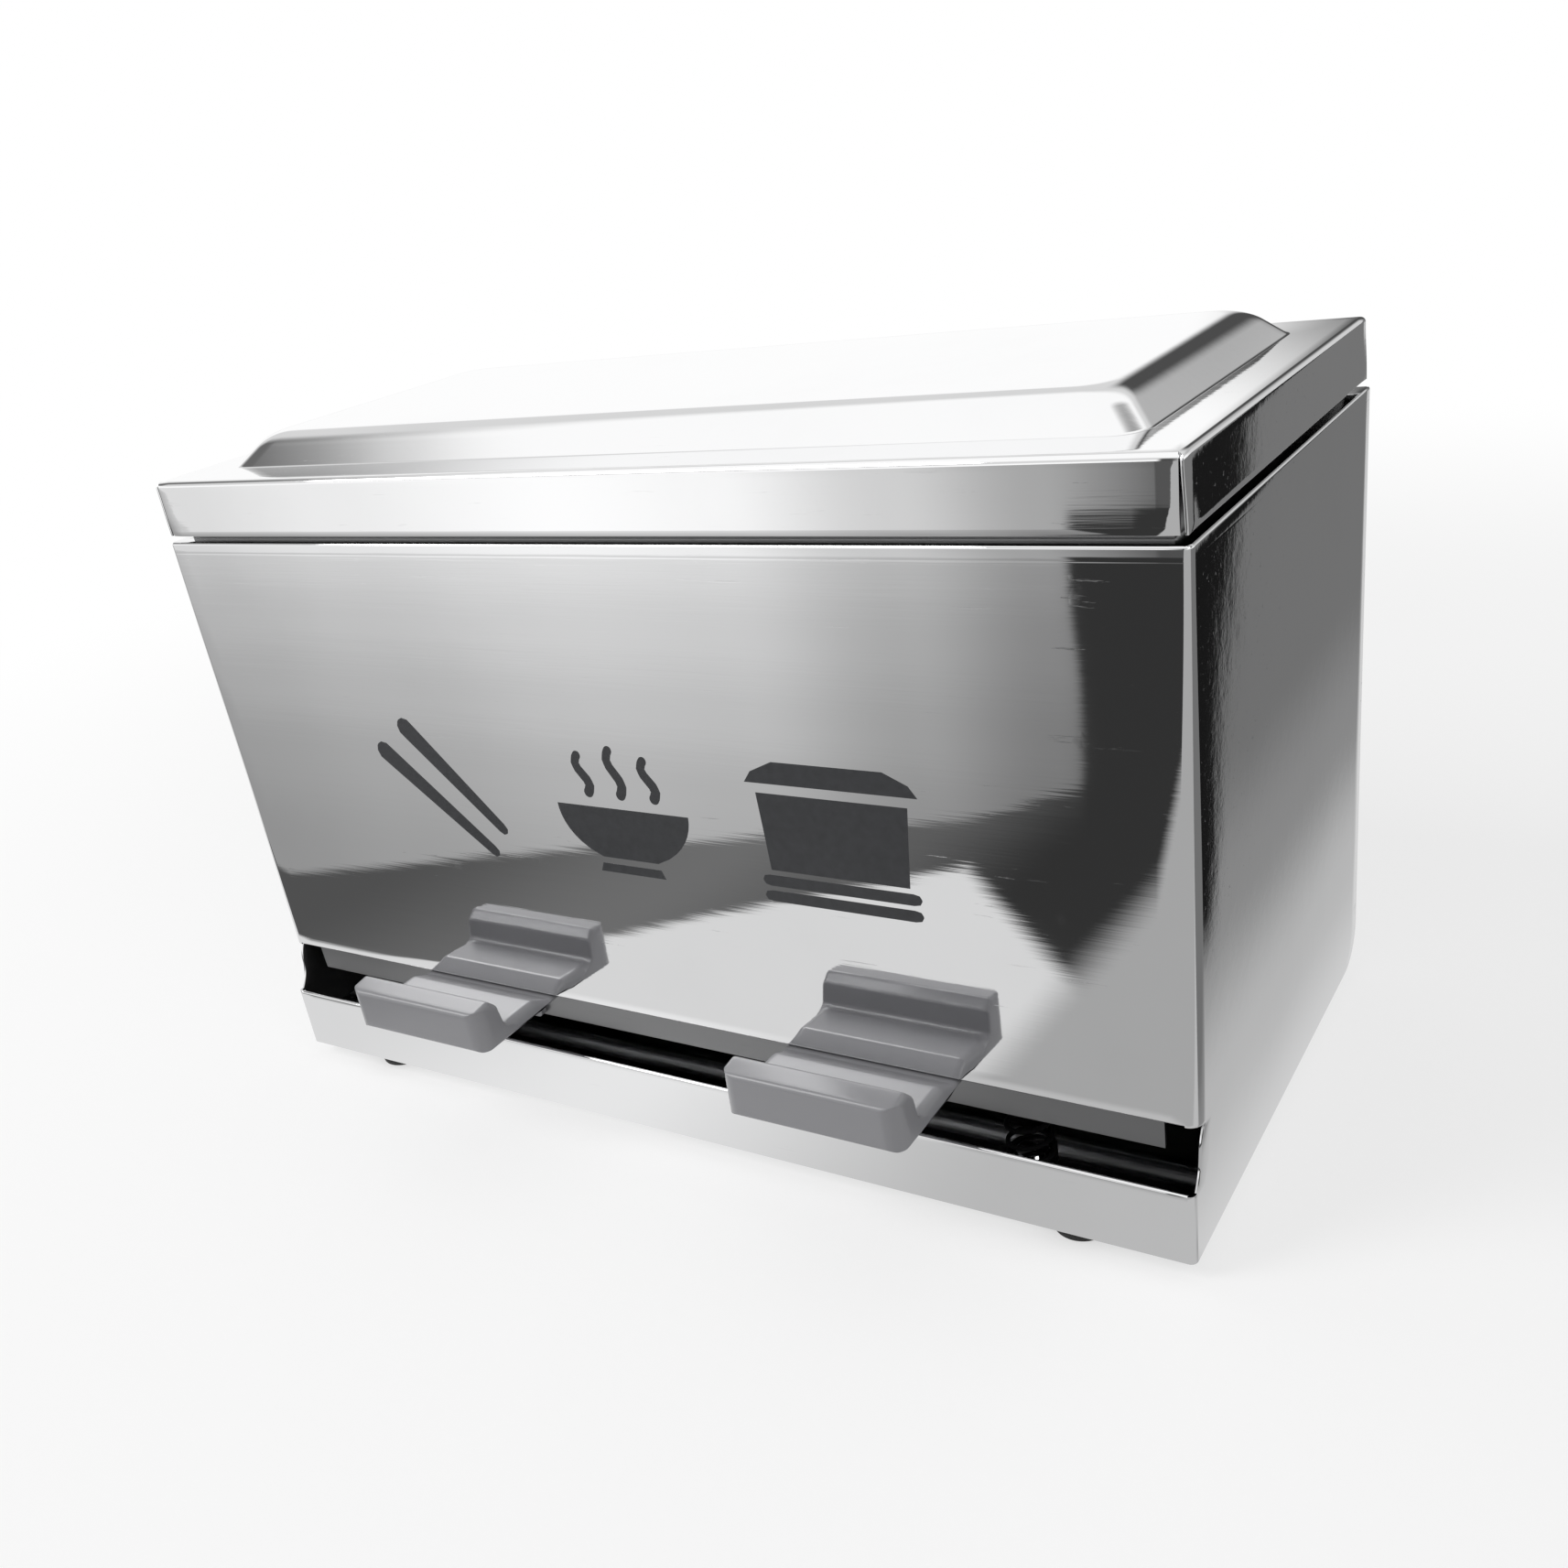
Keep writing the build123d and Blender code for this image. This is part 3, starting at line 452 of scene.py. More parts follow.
def finishes(scene):
    """Materials by name. One that the file already has, such as the frame's own, is kept."""
    finish = scene.holder_finish
    makers = {
        "body_sheet": lambda name: polished_steel(name, 0, finish.polished, finish.gloss),
        "lid_sheet": lambda name: polished_steel(name, 0, finish.bright, finish.gloss),
        # painted shade: the inner sheet is the polished steel, darkened
        "inner_sheet": lambda name: polished_steel(name, 0, finish.inner, finish.satin),
        "plain_steel": lambda name: plain_steel(name, finish.plain, finish.dull),
        # painted shade: the springs' near-black colour
        "dark_steel": lambda name: plain_steel(name, finish.spring_shade, finish.matt),
        "grey_plastic": lambda name: grey_plastic(name, finish),
        "black_rubber": lambda name: black_rubber(name, finish),
        "printed_ink": lambda name: printed_ink(name, finish),
    }
    return {name: bpy.data.materials.get(name) or make(name) for name, make in makers.items()}


# ---------------------------------------------------------------- mesh helpers
def spread(start, end, steps):
    """Evenly spaced numbers from start to end."""
    return [start + (end - start) * step / steps for step in range(steps + 1)]


def ease(part):
    """Smooth step of a number between 0 and 1."""
    part = min(1.0, max(0.0, part))
    return part * part * (3 - 2 * part)


def rounded(corners, steps=6):
    """Closed outline through (a, b, radius) corners; a radius of 0 leaves the corner sharp."""
    outline = []
    for index, (*corner, radius) in enumerate(corners):
        corner = Vector(corner)
        if not radius:
            outline.append(corner)
            continue
        back = (Vector(corners[index - 1][:2]) - corner).normalized()
        ahead = (Vector(corners[(index + 1) % len(corners)][:2]) - corner).normalized()
        half = back.angle(ahead) / 2
        centre = corner + (back + ahead).normalized() * radius / math.sin(half)
        start = corner + back * radius / math.tan(half) - centre
        end = corner + ahead * radius / math.tan(half) - centre
        turn = math.pi - 2 * half
        for part in spread(0, 1, steps):
            mix = start * math.sin((1 - part) * turn) + end * math.sin(part * turn)
            outline.append(centre + mix / math.sin(turn))
    return outline


def divided(outline, longest):
    """Closed outline with its long runs cut into shorter ones."""
    points = []
    for here, after in zip(outline, outline[1:] + outline[:1]):
        steps = max(1, math.ceil((after - here).length / longest))
        points += [here.lerp(after, step / steps) for step in range(steps)]
    return points


def shrunk(outline, amount):
    """Closed outline, drawn anticlockwise, moved inward by an amount."""
    points = []
    last, ahead = outline[-1:] + outline[:-1], outline[1:] + outline[:1]
    for before, here, after in zip(last, outline, ahead):
        first, second = (here - before).normalized(), (after - here).normalized()
        normals = [Vector((-run.y, run.x)) for run in (first, second)]
        middle = (normals[0] + normals[1]).normalized()
        points.append(here + middle * amount / max(0.5, middle.dot(normals[0])))
    return points


def around(steps):
    """Angles once round, without the last one, which meets the first."""
    return [2 * math.pi * step / steps for step in range(steps)]


class Skin:
    """Rows of points that become one mesh."""

    def __init__(self):
        self.mesh = bmesh.new()

    def loft(self, rows, ring=False):
        """Join each row of points to the next one; ring closes every row on itself."""
        made = [[self.mesh.verts.new(point) for point in row] for row in rows]
        for low, high in zip(made, made[1:]):
            for index in range(len(low) - (not ring)):
                after = (index + 1) % len(low)
                self.mesh.faces.new((low[index], low[after], high[after], high[index]))
        return made

    def solid(self, rows):
        """Closed rows joined, with a face over the first and the last."""
        made = self.loft(rows, ring=True)
        self.mesh.faces.new(made[0])
        self.mesh.faces.new(made[-1])

    def settle(self):
        """Weld what meets, drop what has no area and turn every face outward."""
        mesh = self.mesh
        bmesh.ops.remove_doubles(mesh, verts=mesh.verts, dist=2e-6)
        bmesh.ops.dissolve_degenerate(mesh, edges=mesh.edges, dist=1e-6)
        bmesh.ops.recalc_face_normals(mesh, faces=mesh.faces)
        middle = sum((vert.co for vert in mesh.verts), Vector()) / len(mesh.verts)
        facing = sum(
            (face.calc_center_median() - middle).dot(face.normal) * face.calc_area()
            for face in mesh.faces
        )
        if facing < 0:
            bmesh.ops.reverse_faces(mesh, faces=mesh.faces)

    def object(self, name):
        """Blender object with this mesh."""
        self.settle()
        data = bpy.data.meshes.new(name)
        self.mesh.to_mesh(data)
        self.mesh.free()
        made = bpy.data.objects.new(name, data)
        bpy.context.scene.collection.objects.link(made)
        return made


def bake_modifiers(piece):
    """Put what the modifiers make into the mesh itself."""
    shape = piece.evaluated_get(bpy.context.evaluated_depsgraph_get())
    data = bpy.data.meshes.new_from_object(shape)
    piece.modifiers.clear()
    piece.data = data


def thicken(piece, sheet, edge, faces=()):
    """Give a skin its sheet's thickness, inward, and break its cut edges.

    faces holds the finishes of the outer and the inner face, where they differ.
    """
    for finish in faces:
        piece.data.materials.append(finish)
    plate = piece.modifiers.new("plate", "SOLIDIFY")
    plate.thickness = sheet
    plate.offset = -1
    plate.use_even_offset = True
    plate.material_offset = len(faces) // 2
    if edge:
        broken = piece.modifiers.new("edge", "BEVEL")
        broken.width = edge
        broken.segments = 2
        broken.limit_method = "ANGLE"
        broken.angle_limit = math.radians(60)
    bake_modifiers(piece)


def dress(piece, material, slot, body, *nodes, crease=32):
    """Shade and finish a piece, and let it ride on its body in place of the frame's nodes."""
    if not any(piece.data.materials):
        piece.data.materials.clear()
        piece.data.materials.append(material)
    piece.data.shade_smooth()
    piece.data.set_sharp_from_angle(angle=math.radians(crease))
    if nodes:
        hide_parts(*nodes)
    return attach(piece, body)


# ---------------------------------------------------------------- body
class BodyForm:
    """Where the folded body sheet lies, worked out from the frame and the body's settings."""

    side_steps = 26
    bend_steps = 8
    front_steps = 56
    fade = 0.03  # distance from its bends at which a flat face sinks fully
    burr = 0.00008  # unevenness of the side walls' cut edges
    least_bend = 0.0002

    def __init__(self, settings):
        low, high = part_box("body_wrap")
        self.settings = settings
        self.half = high.x
        self.base_z, self.top_z = low.z, high.z
        self.back_y = high.y
        self.strip_foot_y = low.y
        self.front_y = low.y + settings.strip_set + settings.strip_lean
        self.strip_top_z = low.z + settings.strip_height
        self.slot_top_z = self.strip_top_z + settings.slot_height
        self.turn_x = self.half - settings.corner_bend - settings.corner_swell
        self.fold = settings.sheet * FOLD

    def fall(self, z):
        """How far down the panel a height is, from 0 to 1, or None below the slot."""
        if z > self.strip_top_z + self.settings.slot_height / 2:
            return (self.top_z - z) / (self.top_z - self.slot_top_z)
        return None

    def face_y(self, z):
        """Outer face of the front at a height: the leaning panel, or the strip below it."""
        fall = self.fall(z)
        if fall is not None:
            return self.front_y - self.settings.panel_lean * fall
        rise = (z - self.base_z) / self.settings.strip_height
        return self.strip_foot_y + self.settings.strip_lean * rise

    def sunk(self, across, z, low, high, seed):
        """How far a flat face sinks at a point, fading out towards its bends."""
        room = min(across - low[0], high[0] - across, z - low[1], high[1] - z)
        wave = 0.5 + 0.5 * noise.noise(Vector((across * 11, z * 9, seed)))
        return self.settings.ripple * ease(room / self.fade) * wave

    def front_point(self, x, z, inset=0.0):
        """Point of the front at a place across it, a little inside its outer face."""
        low_z = self.slot_top_z if z >= self.slot_top_z else self.base_z
        high_z = self.top_z if z >= self.slot_top_z else self.strip_top_z
        sunk = self.sunk(x, z, (-self.turn_x, low_z), (self.turn_x, high_z), 3)
        return Vector((x, self.face_y(z) + inset + sunk, z))

    def bend_at(self, z, inset):
        """Radius of the upright corner at a height, a little inside the outer face."""
        fall = self.fall(z)
        swell = 0.0 if fall is None else self.settings.corner_swell * ease(fall * 1.6)
        return max(self.settings.corner_bend + swell - inset, self.least_bend)

    def cut_y(self, z, inset=0.0):
        """Front edge of a side wall, just behind the corner bend."""
        if self.strip_top_z < z < self.slot_top_z:
            part = (z - self.strip_top_z) / self.settings.slot_height
            sweep = part + 0.11 * math.sin(2 * math.pi * part)
            burr = self.burr * noise.noise(Vector((z * 900, 0, 0)))
            low, high = self.cut_y(self.strip_top_z), self.cut_y(self.slot_top_z)
            return low + (high - low) * sweep + burr
        return self.face_y(z) + inset + self.bend_at(z, inset) + self.settings.slot_setback

    def rear_y(self, z, inset):
        """Rear edge of a side wall, round at its foot."""
        if inset > self.settings.sheet / 2:
            return self.back_y - self.settings.sheet
        drop = max(0.0, self.settings.heel_round - (z - self.base_z))
        return self.back_y - self.settings.heel_round + math.sqrt(
            self.settings.heel_round**2 - drop**2
        )

    def side(self, side, z, inset=0.0):
        """Side wall at one height, from its rear edge to its front edge."""
        low, high = (self.front_y, self.base_z), (self.back_y, self.top_z)
        return [
            Vector((side * (self.half - inset - self.sunk(y, z, low, high, 8 + side)), y, z))
            for y in spread(self.rear_y(z, inset), self.cut_y(z, inset), self.side_steps)
        ]

    def corner(self, side, z, inset=0.0):
        """Upright corner at one height, from the side wall's front edge to the front's flat."""
        bend = self.bend_at(z, inset)
        turn_x = self.half - inset - bend
        turn_y = self.face_y(z) + inset + bend
        points = [Vector((side * (self.half - inset), self.cut_y(z, inset), z))]
        for angle in spread(0, QUARTER, self.bend_steps):
            across, ahead = bend * math.cos(angle), bend * math.sin(angle)
            points.append(Vector((side * (turn_x + across), turn_y - ahead, z)))
        return points

    def front(self, z, inset=0.0):
        """Front's flat at one height, left to right."""
        turn_x = self.half - inset - self.bend_at(z, inset)
        return [
            self.front_point(x, z, inset) for x in spread(-turn_x, turn_x, self.front_steps)
        ]

    def wrap(self, z, inset=0.0):
        """Front at one height with both corners."""
        left, right = self.corner(-1, z, inset), self.corner(1, z, inset)
        return left + self.front(z, inset)[1:-1] + right[::-1]

    def hem(self, edge_z, inward):
        """Rows of a hem folded back from an edge of the slot; inward is 1 up and -1 down."""
        fold = self.fold
        hold_z = edge_z + inward * fold
        rows = []
        for angle in spread(0, math.pi, 8):
            lift = -inward * fold * math.sin(angle)
            inset = fold * (1 - math.cos(angle))
            rows.append([point + Vector((0, inset, lift)) for point in self.front(hold_z)])
        for rise in spread(0, self.settings.hem_height - fold, 3)[1:]:
            z = hold_z + inward * rise
            lean = self.face_y(z) - self.face_y(hold_z)
            shift = Vector((0, 2 * fold + lean, z - hold_z))
            rows.append([point + shift for point in self.front(hold_z)])
        return rows


class HOLDER_OT_body(bpy.types.Operator):
    """Fold the body sheet: leaning front panel, lower strip, side walls, ledge and hems"""

    bl_idname = "holder.body"
    bl_label = "Body"

    def execute(self, context):
        settings = context.scene.holder_body
        form = BodyForm(settings)
        strip_hold, panel_hold = form.strip_top_z - form.fold, form.slot_top_z + form.fold
        heel = [
            form.base_z + settings.heel_round * (1 - math.cos(angle))
            for angle in spread(0, QUARTER, 8)
        ]
        strip = heel + spread(heel[-1], strip_hold, 3)[1:]
        slot = spread(form.strip_top_z, form.slot_top_z, 14)
        score = form.top_z - settings.score_drop
        half = settings.score_width / 2
        flat = [(z, 0.0) for z in spread(panel_hold, score - 3 * half, 34)]
        flat += [(score - half, 0.0), (score, settings.score_depth), (score + half, 0.0)]
        flat += [(score + 3 * half, 0.0)]
        edge = [
            (
                form.top_z - settings.edge_bend * (1 - math.sin(angle)),
                settings.edge_bend * (1 - math.cos(angle)),
            )
            for angle in spread(0, QUARTER, 6)
        ]
        insets = spread(settings.edge_bend, settings.ledge_width, 3)
        upper = flat + edge + [(form.top_z, inset) for inset in insets[1:]]

        skin = Skin()
        skin.loft([form.wrap(z) for z in strip])
        skin.loft([form.wrap(z, inset) for z, inset in upper])
        skin.loft(form.hem(form.slot_top_z, 1))
        skin.loft(form.hem(form.strip_top_z, -1))
        for _, side in SIDES:
            walls = [(z, 0.0) for z in strip + slot] + upper
            skin.loft([form.side(side, z, inset) for z, inset in walls])
            skin.loft([form.corner(side, z) for z in (strip_hold, form.strip_top_z)])
            skin.loft([form.corner(side, z) for z in (form.slot_top_z, panel_hold)])
        made = finishes(context.scene)
        piece = skin.object("body_shell")
        # the inner face gets the darkened sheet, which paints the shade inside the body
        thicken(piece, settings.sheet, CUT_EDGE, (made["body_sheet"], made["inner_sheet"]))
        dress(piece, made["body_sheet"], "polished_steel", "root", "body_wrap")
        return {"FINISHED"}


# ---------------------------------------------------------------- lid
class LidForm:
    """Where the pressed lid lies, worked out from the frame and the lid's settings."""

    long_steps = 64
    short_steps = 30
    corner_steps = 8
    crown_reach = 0.043  # last ring, inward from the pressed panel's base line
    curl_reach = 0.003  # how far from a cut end the skirt curls

    def __init__(self, settings):
        low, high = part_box("lid_cover")
        self.settings = settings
        self.half = high.x
        self.front_y, self.back_y = low.y, high.y
        self.foot_z = low.z
        self.border_z = high.z - settings.raise_height
        self.middle_y = (low.y + high.y) / 2
        self.reach = (high.y - low.y) / 2

    def ring(self, half, front_y, back_y, radius, z):
        """Rounded rectangle seen from above, from its front left corner round to the right."""
        corners = (
            (-half + radius, front_y + radius, 2),
            (half - radius, front_y + radius, 3),
            (half - radius, back_y - radius, 0),
            (-half + radius, back_y - radius, 1),
        )
        points = []
        for index, (x, y, turn) in enumerate(corners):
            for angle in spread(turn * QUARTER, (turn + 1) * QUARTER, self.corner_steps):
                across, deep = radius * math.cos(angle), radius * math.sin(angle)
                points.append(Vector((x + across, y + deep, z)))
            after_x, after_y, _ = corners[(index + 1) % 4]
            steps = self.short_steps if index % 2 else self.long_steps
            run = Vector((after_x - x, after_y - y, 0)) / steps
            start = points[-1].copy()
            points += [start + run * step for step in range(1, steps)]
        return points

    def raised(self, inward, height):
        """Ring of the pressed panel, at a distance inward from its base line."""
        settings = self.settings
        return self.ring(
            self.half - settings.border_side - inward,
            self.front_y + settings.border_front + inward,
            self.back_y - settings.border_back - inward,
            settings.raise_corner + max(0.0, -inward),
            self.border_z + height,
        )

    def slope(self):
        """Side view of the pressed panel: distances inward with their heights."""
        settings = self.settings
        top_in = settings.raise_slope * 2.4
        view = rounded(
            [
                (-settings.raise_slope, 0, 0),
                (0, 0, settings.raise_foot),
                (settings.raise_slope, settings.raise_height, settings.crown_round),
                (top_in, settings.raise_height, 0),
            ],
            steps=12,
        )
        return view[1:]

    def top_rows(self):
        """Rings from the lid's bend over the border and up the pressed panel."""
        settings = self.settings
        bend = settings.bend
        outer = self.ring(
            self.half - bend, self.front_y + bend, self.back_y - bend, 0.0, self.border_z
        )
        view = self.slope()
        base = self.raised(view[0].x, view[0].y)
        rows = []
        for part in spread(0, 1, 5)[:-1]:
            sunk = settings.ripple * math.sin(math.pi * part)
            rows.append([self.dip(a.lerp(b, part), sunk) for a, b in zip(outer, base)])
        rows += [self.raised(inward, height) for inward, height in view]
        for inward in spread(view[-1].x, self.crown_reach, 3)[1:]:
            rows.append(self.raised(inward, settings.raise_height))
        return rows

    def dip(self, point, sunk):
        """Border point, sunk unevenly."""
        wave = 0.5 + 0.5 * noise.noise(Vector((point.x * 14, point.y * 14, 5)))
        return point - Vector((0, 0, sunk * wave))

    def skirt(self, along, out, half, reach, cut):
        """Rows of one side of the skirt: the bend and the upright below it.

        along and out are the directions of the side, half its half length, reach how far it
        lies from the middle, and cut how much shorter it is at each end than the lid.
        """
        settings = self.settings
        bend = settings.bend
        middle = Vector((0, self.middle_y, 0))
        long_side = abs(along.x) > 0.5
        steps = self.long_steps if long_side else self.short_steps
        profile = [
            (bend * math.sin(angle), self.border_z - bend * (1 - math.cos(angle)))
            for angle in spread(0, QUARTER, 7)
        ]
        profile += [(bend, z) for z in spread(self.border_z - bend, self.foot_z, 10)[1:]]
        rows = []
        for reach_out, z in profile:
            end = half - bend + reach_out * (1 - cut / bend)
            row = []
            for place in spread(-end, end, steps):
                stand = self.stand_off(end - abs(place), z, cut)
                away = out * (reach - bend + reach_out + stand)
                row.append(middle + along * place + away + Vector((0, 0, z)))
            rows.append(row)
        return rows

    def stand_off(self, from_end, z, cut):
        """How far the upright stands off: flared, and curled out or dented in at its ends."""
        drop = (self.border_z - z) / (self.border_z - self.foot_z)
        near = ease(1 - from_end / self.curl_reach)
        flare = self.settings.flare * drop
        if cut:
            return 2 * flare - self.settings.curl * near * ease(drop * 3 - 2)
        return flare + self.settings.curl * near * ease(drop * 1.4 - 0.2)


class HOLDER_OT_lid(bpy.types.Operator):
    """Press the lid: border, raised panel and a skirt folded down on all four sides"""

    bl_idname = "holder.lid"
    bl_label = "Lid"

    def execute(self, context):
        settings = context.scene.holder_lid
        form = LidForm(settings)
        skin = Skin()
        top = skin.loft(form.top_rows(), ring=True)
        skin.mesh.faces.new(top[-1])
        cut = settings.sheet + settings.seam
        across, deep = Vector((1, 0, 0)), Vector((0, 1, 0))
        skin.loft(form.skirt(across, -deep, form.half, form.reach, cut))
        skin.loft(form.skirt(-across, deep, form.half, form.reach, cut))
        skin.loft(form.skirt(deep, across, form.reach, form.half, 0.0))
        skin.loft(form.skirt(-deep, -across, form.reach, form.half, 0.0))
        made = finishes(context.scene)
        piece = skin.object("lid_shell")
        # the inner face gets the darkened sheet, which paints the shade under the lid
        thicken(piece, settings.sheet, CUT_EDGE, (made["lid_sheet"], made["inner_sheet"]))
        dress(piece, made["lid_sheet"], "polished_steel", "lid", "lid_cover")
        return {"FINISHED"}


# ---------------------------------------------------------------- trays
RUN_LENGTH = 0.0011  # longest straight run in a tray's side view
ROLL_START, ROLL_FOOT = 1.4, 0.2  # where an end's roll begins: corners back, rolls up
TAB_CORNER = 0.0015  # radius of a tab's lower corners
CORE_REACH = 0.001  # how far the hollow's shape passes the underside


def tray_skin(settings, node):
    """Tray as moulded: flat floor, steep inner wall, rounded lip and drafted, soft ends."""
    low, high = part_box(node)
    under_z = low.z + settings.tab_drop
    front_y, rear_y = low.y, high.y
    view = rounded(
        [
            (front_y, under_z, settings.lip_round),
            (rear_y, under_z, 0),
            (rear_y, under_z + settings.floor, 0),
            (front_y + settings.fall_end, under_z + settings.floor, settings.fall_round),
            (front_y + settings.fall_start, under_z + settings.trough, settings.fall_round),
            (front_y + settings.lip_depth, under_z + settings.trough, settings.trough_round),
            (front_y + settings.brow_setback, high.z - settings.brow_drop, settings.brow_round),
            (front_y + settings.ridge_setback, high.z, settings.ridge_round),
            (front_y, under_z + settings.lip_front, settings.lip_round),
        ],
        steps=7,
    )
    view = divided(view, RUN_LENGTH)
    corner, edge, roll = settings.corner, settings.edge, settings.roll
    from_end = [corner * (1 - math.cos(angle)) for angle in spread(0, QUARTER, 16)]
    rows = []
    for distance in from_end:
        soft = edge - math.sqrt(max(0.0, edge**2 - (edge - min(edge, distance)) ** 2))
        limit = front_y + corner - math.sqrt(corner**2 - (corner - distance) ** 2)
        outline = [(max(y, limit + soft), z) for y, z in shrunk(view, soft)]
        drops = [
            radius - math.sqrt(radius**2 - max(0.0, radius - distance) ** 2)
            for radius in (settings.shoulder, roll)
        ]
        lip_keep = 1 - drops[0] / (high.z - under_z)
        lowered = []
        for y, z in outline:
            behind = ease((y - limit) / corner - ROLL_START)
            lifted = ease((z - under_z) / roll - ROLL_FOOT)
            lowered.append((y, under_z + (z - under_z) * lip_keep - drops[1] * behind * lifted))
        rows.append((distance, lowered))
    middle = (low.x + high.x) / 2
    half = (high.x - low.x) / 2
    skin = Skin()
    stations = [(half - distance, outline) for distance, outline in reversed(rows)]
    stations = [(-reach, outline) for reach, outline in reversed(stations)] + stations
    slant = settings.draft / half / (high.z - under_z)
    skin.solid(
        [
            [Vector((middle + x * (1 - (z - under_z) * slant), y, z)) for y, z in outline]
            for x, outline in stations
        ]
    )
    return skin


def tray_core(settings, node):
    """Space inside the hollow lip, open at the bottom."""
    low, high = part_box(node)
    under_z = low.z + settings.tab_drop
    core_top = under_z + settings.lip_front - settings.wall
    rear = low.y + settings.ridge_setback - settings.wall / 4
    view = [
        (low.y + settings.wall, under_z - CORE_REACH),
        (low.y + settings.lip_depth - settings.wall, under_z - CORE_REACH),
        (rear, core_top),
        (low.y + settings.wall, core_top),
    ]
    skin = Skin()
    ends = (low.x + settings.corner, high.x - settings.corner)
    skin.solid([[Vector((x, y, z)) for y, z in view] for x in ends])
    return skin


def tray_tab(settings, node):
    """Tab behind the tray that is riveted to the rocker, with rounded lower corners."""
    low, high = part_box(node)
    middle = (low.x + high.x) / 2
    half = settings.tab_width / 2
    top_z = low.z + settings.tab_drop + settings.floor / 2
    view = rounded(
        [
            (middle - half, low.z, TAB_CORNER),
            (middle + half, low.z, TAB_CORNER),
            (middle + half, top_z, 0),
            (middle - half, top_z, 0),
        ]
    )
    skin = Skin()
    ends = (high.y - settings.tab, high.y)
    skin.solid([[Vector((x, y, z)) for x, z in view] for y in ends])
    return skin


def join_shape(piece, other, operation):
    """Cut another shape out of a piece, or weld it on."""
    tool = piece.modifiers.new("tool", "BOOLEAN")
    tool.object = other
    tool.operation = operation
    tool.solver = "MANIFOLD"
    bake_modifiers(piece)
    bpy.data.objects.remove(other)


class HOLDER_OT_trays(bpy.types.Operator):
    """Mould both catch trays, each with a hollow lip and a rear tab"""

    bl_idname = "holder.trays"
    bl_label = "Trays"

    def execute(self, context):
        settings = context.scene.holder_trays
        material = finishes(context.scene)["grey_plastic"]
        for name, _ in SIDES:
            node = f"{name}_tray"
            piece = tray_skin(settings, node).object(f"{name}_catch_tray")
            join_shape(piece, tray_core(settings, node).object("core"), "DIFFERENCE")
            join_shape(piece, tray_tab(settings, node).object("tab"), "UNION")
            dress(piece, material, "grey_plastic", "rocker", node, crease=28)
        return {"FINISHED"}


# ---------------------------------------------------------------- feet
class HOLDER_OT_feet(bpy.types.Operator):
    """Mould the four rubber feet, each with a screw recess and a mould line"""

    bl_idname = "holder.feet"
    bl_label = "Feet"

    def execute(self, context):
        settings = context.scene.holder_feet
        material = finishes(context.scene)["black_rubber"]
        for row in ("front", "rear"):
            for name, _ in SIDES:
                node = f"{row}_{name}_foot"
                piece = self.foot(settings, node).object(f"{row}_{name}_pad")
                dress(piece, material, "black_rubber", "root", node)
        return {"FINISHED"}

    @staticmethod
    def foot(settings, node):
        """Foot turned about its screw hole."""
        low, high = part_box(node)
        radius = (high.x - low.x) / 2
        centre = (low + high) / 2
        middle = (low.z + high.z) / 2
        waist = radius - settings.taper / 2
        bead = settings.bead
        view = rounded(
            [
                (settings.bore, high.z, 0),
                (settings.bore, low.z + settings.recess, 0),
                (settings.recess_radius, low.z + settings.recess, 0),
                (settings.recess_radius, low.z, 0),
                (radius - settings.taper, low.z, settings.sole_round),
                (waist - bead, middle - 2 * bead, 0),
                (waist + bead, middle, 0),
                (waist - bead, middle + 2 * bead, 0),
                (radius, high.z, 0),
            ]
        )
        turns = [2 * math.pi * turn / 56 for turn in range(57)]
        skin = Skin()
        skin.loft(
            [
                [
                    Vector(
                        (centre.x + out * math.cos(turn), centre.y + out * math.sin(turn), z)
                    )
                    for out, z in view
                ]
                for turn in turns
            ],
            ring=True,
        )
        return skin


# ---------------------------------------------------------------- springs
class HOLDER_OT_springs(bpy.types.Operator):
    """Wind both return springs at rest; on the holder they are pressed down as the trays tilt,
    which these coils do not follow
    """

    bl_idname = "holder.springs"
    bl_label = "Springs"

    turn_steps = 28
    wire_steps = 10

    def execute(self, context):
        settings = context.scene.holder_springs
        # the springs' dark finish is painted shade
        material = finishes(context.scene)["dark_steel"]
        for name, hand in SIDES:
            node = f"{name}_return_spring"
            low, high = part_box(node)
            piece = self.coil(settings, low, high, hand).object(f"{name}_coil_spring")
            dress(piece, material, "plain_steel", "root", node, crease=50)
            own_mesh(piece)
        return {"FINISHED"}

    def coil(self, settings, low, high, hand):
        """Wire wound up a coil: one flat turn at each end and an even rise between them."""
        half_wire = settings.wire / 2
        radius = (high.x - low.x) / 2 - half_wire
        middle = (low + high) / 2
        start_z = low.z + half_wire - settings.ground
        end_z = high.z - half_wire + settings.ground
        free = end_z - start_z - 2 * settings.wire
        rows = []
        for turn in spread(0, settings.turns, round(settings.turns * self.turn_steps)):
            closed = min(turn, 1) + max(0, turn - settings.turns + 1)
            part = min(1.0, max(0.0, (turn - 1) / (settings.turns - 2)))
            rise = closed * settings.wire + part * free
            angle = 2 * math.pi * turn * hand
            out = Vector((math.cos(angle), math.sin(angle), 0))
            centre = Vector((middle.x, middle.y, start_z + rise)) + out * radius
            row = []
            for bend in around(self.wire_steps):
                point = centre + out * half_wire * math.cos(bend)
                point.z += half_wire * math.sin(bend)
                point.z = min(high.z, max(low.z, point.z))
                row.append(point)
            rows.append(row)
        skin = Skin()
        skin.solid(rows)
        return skin


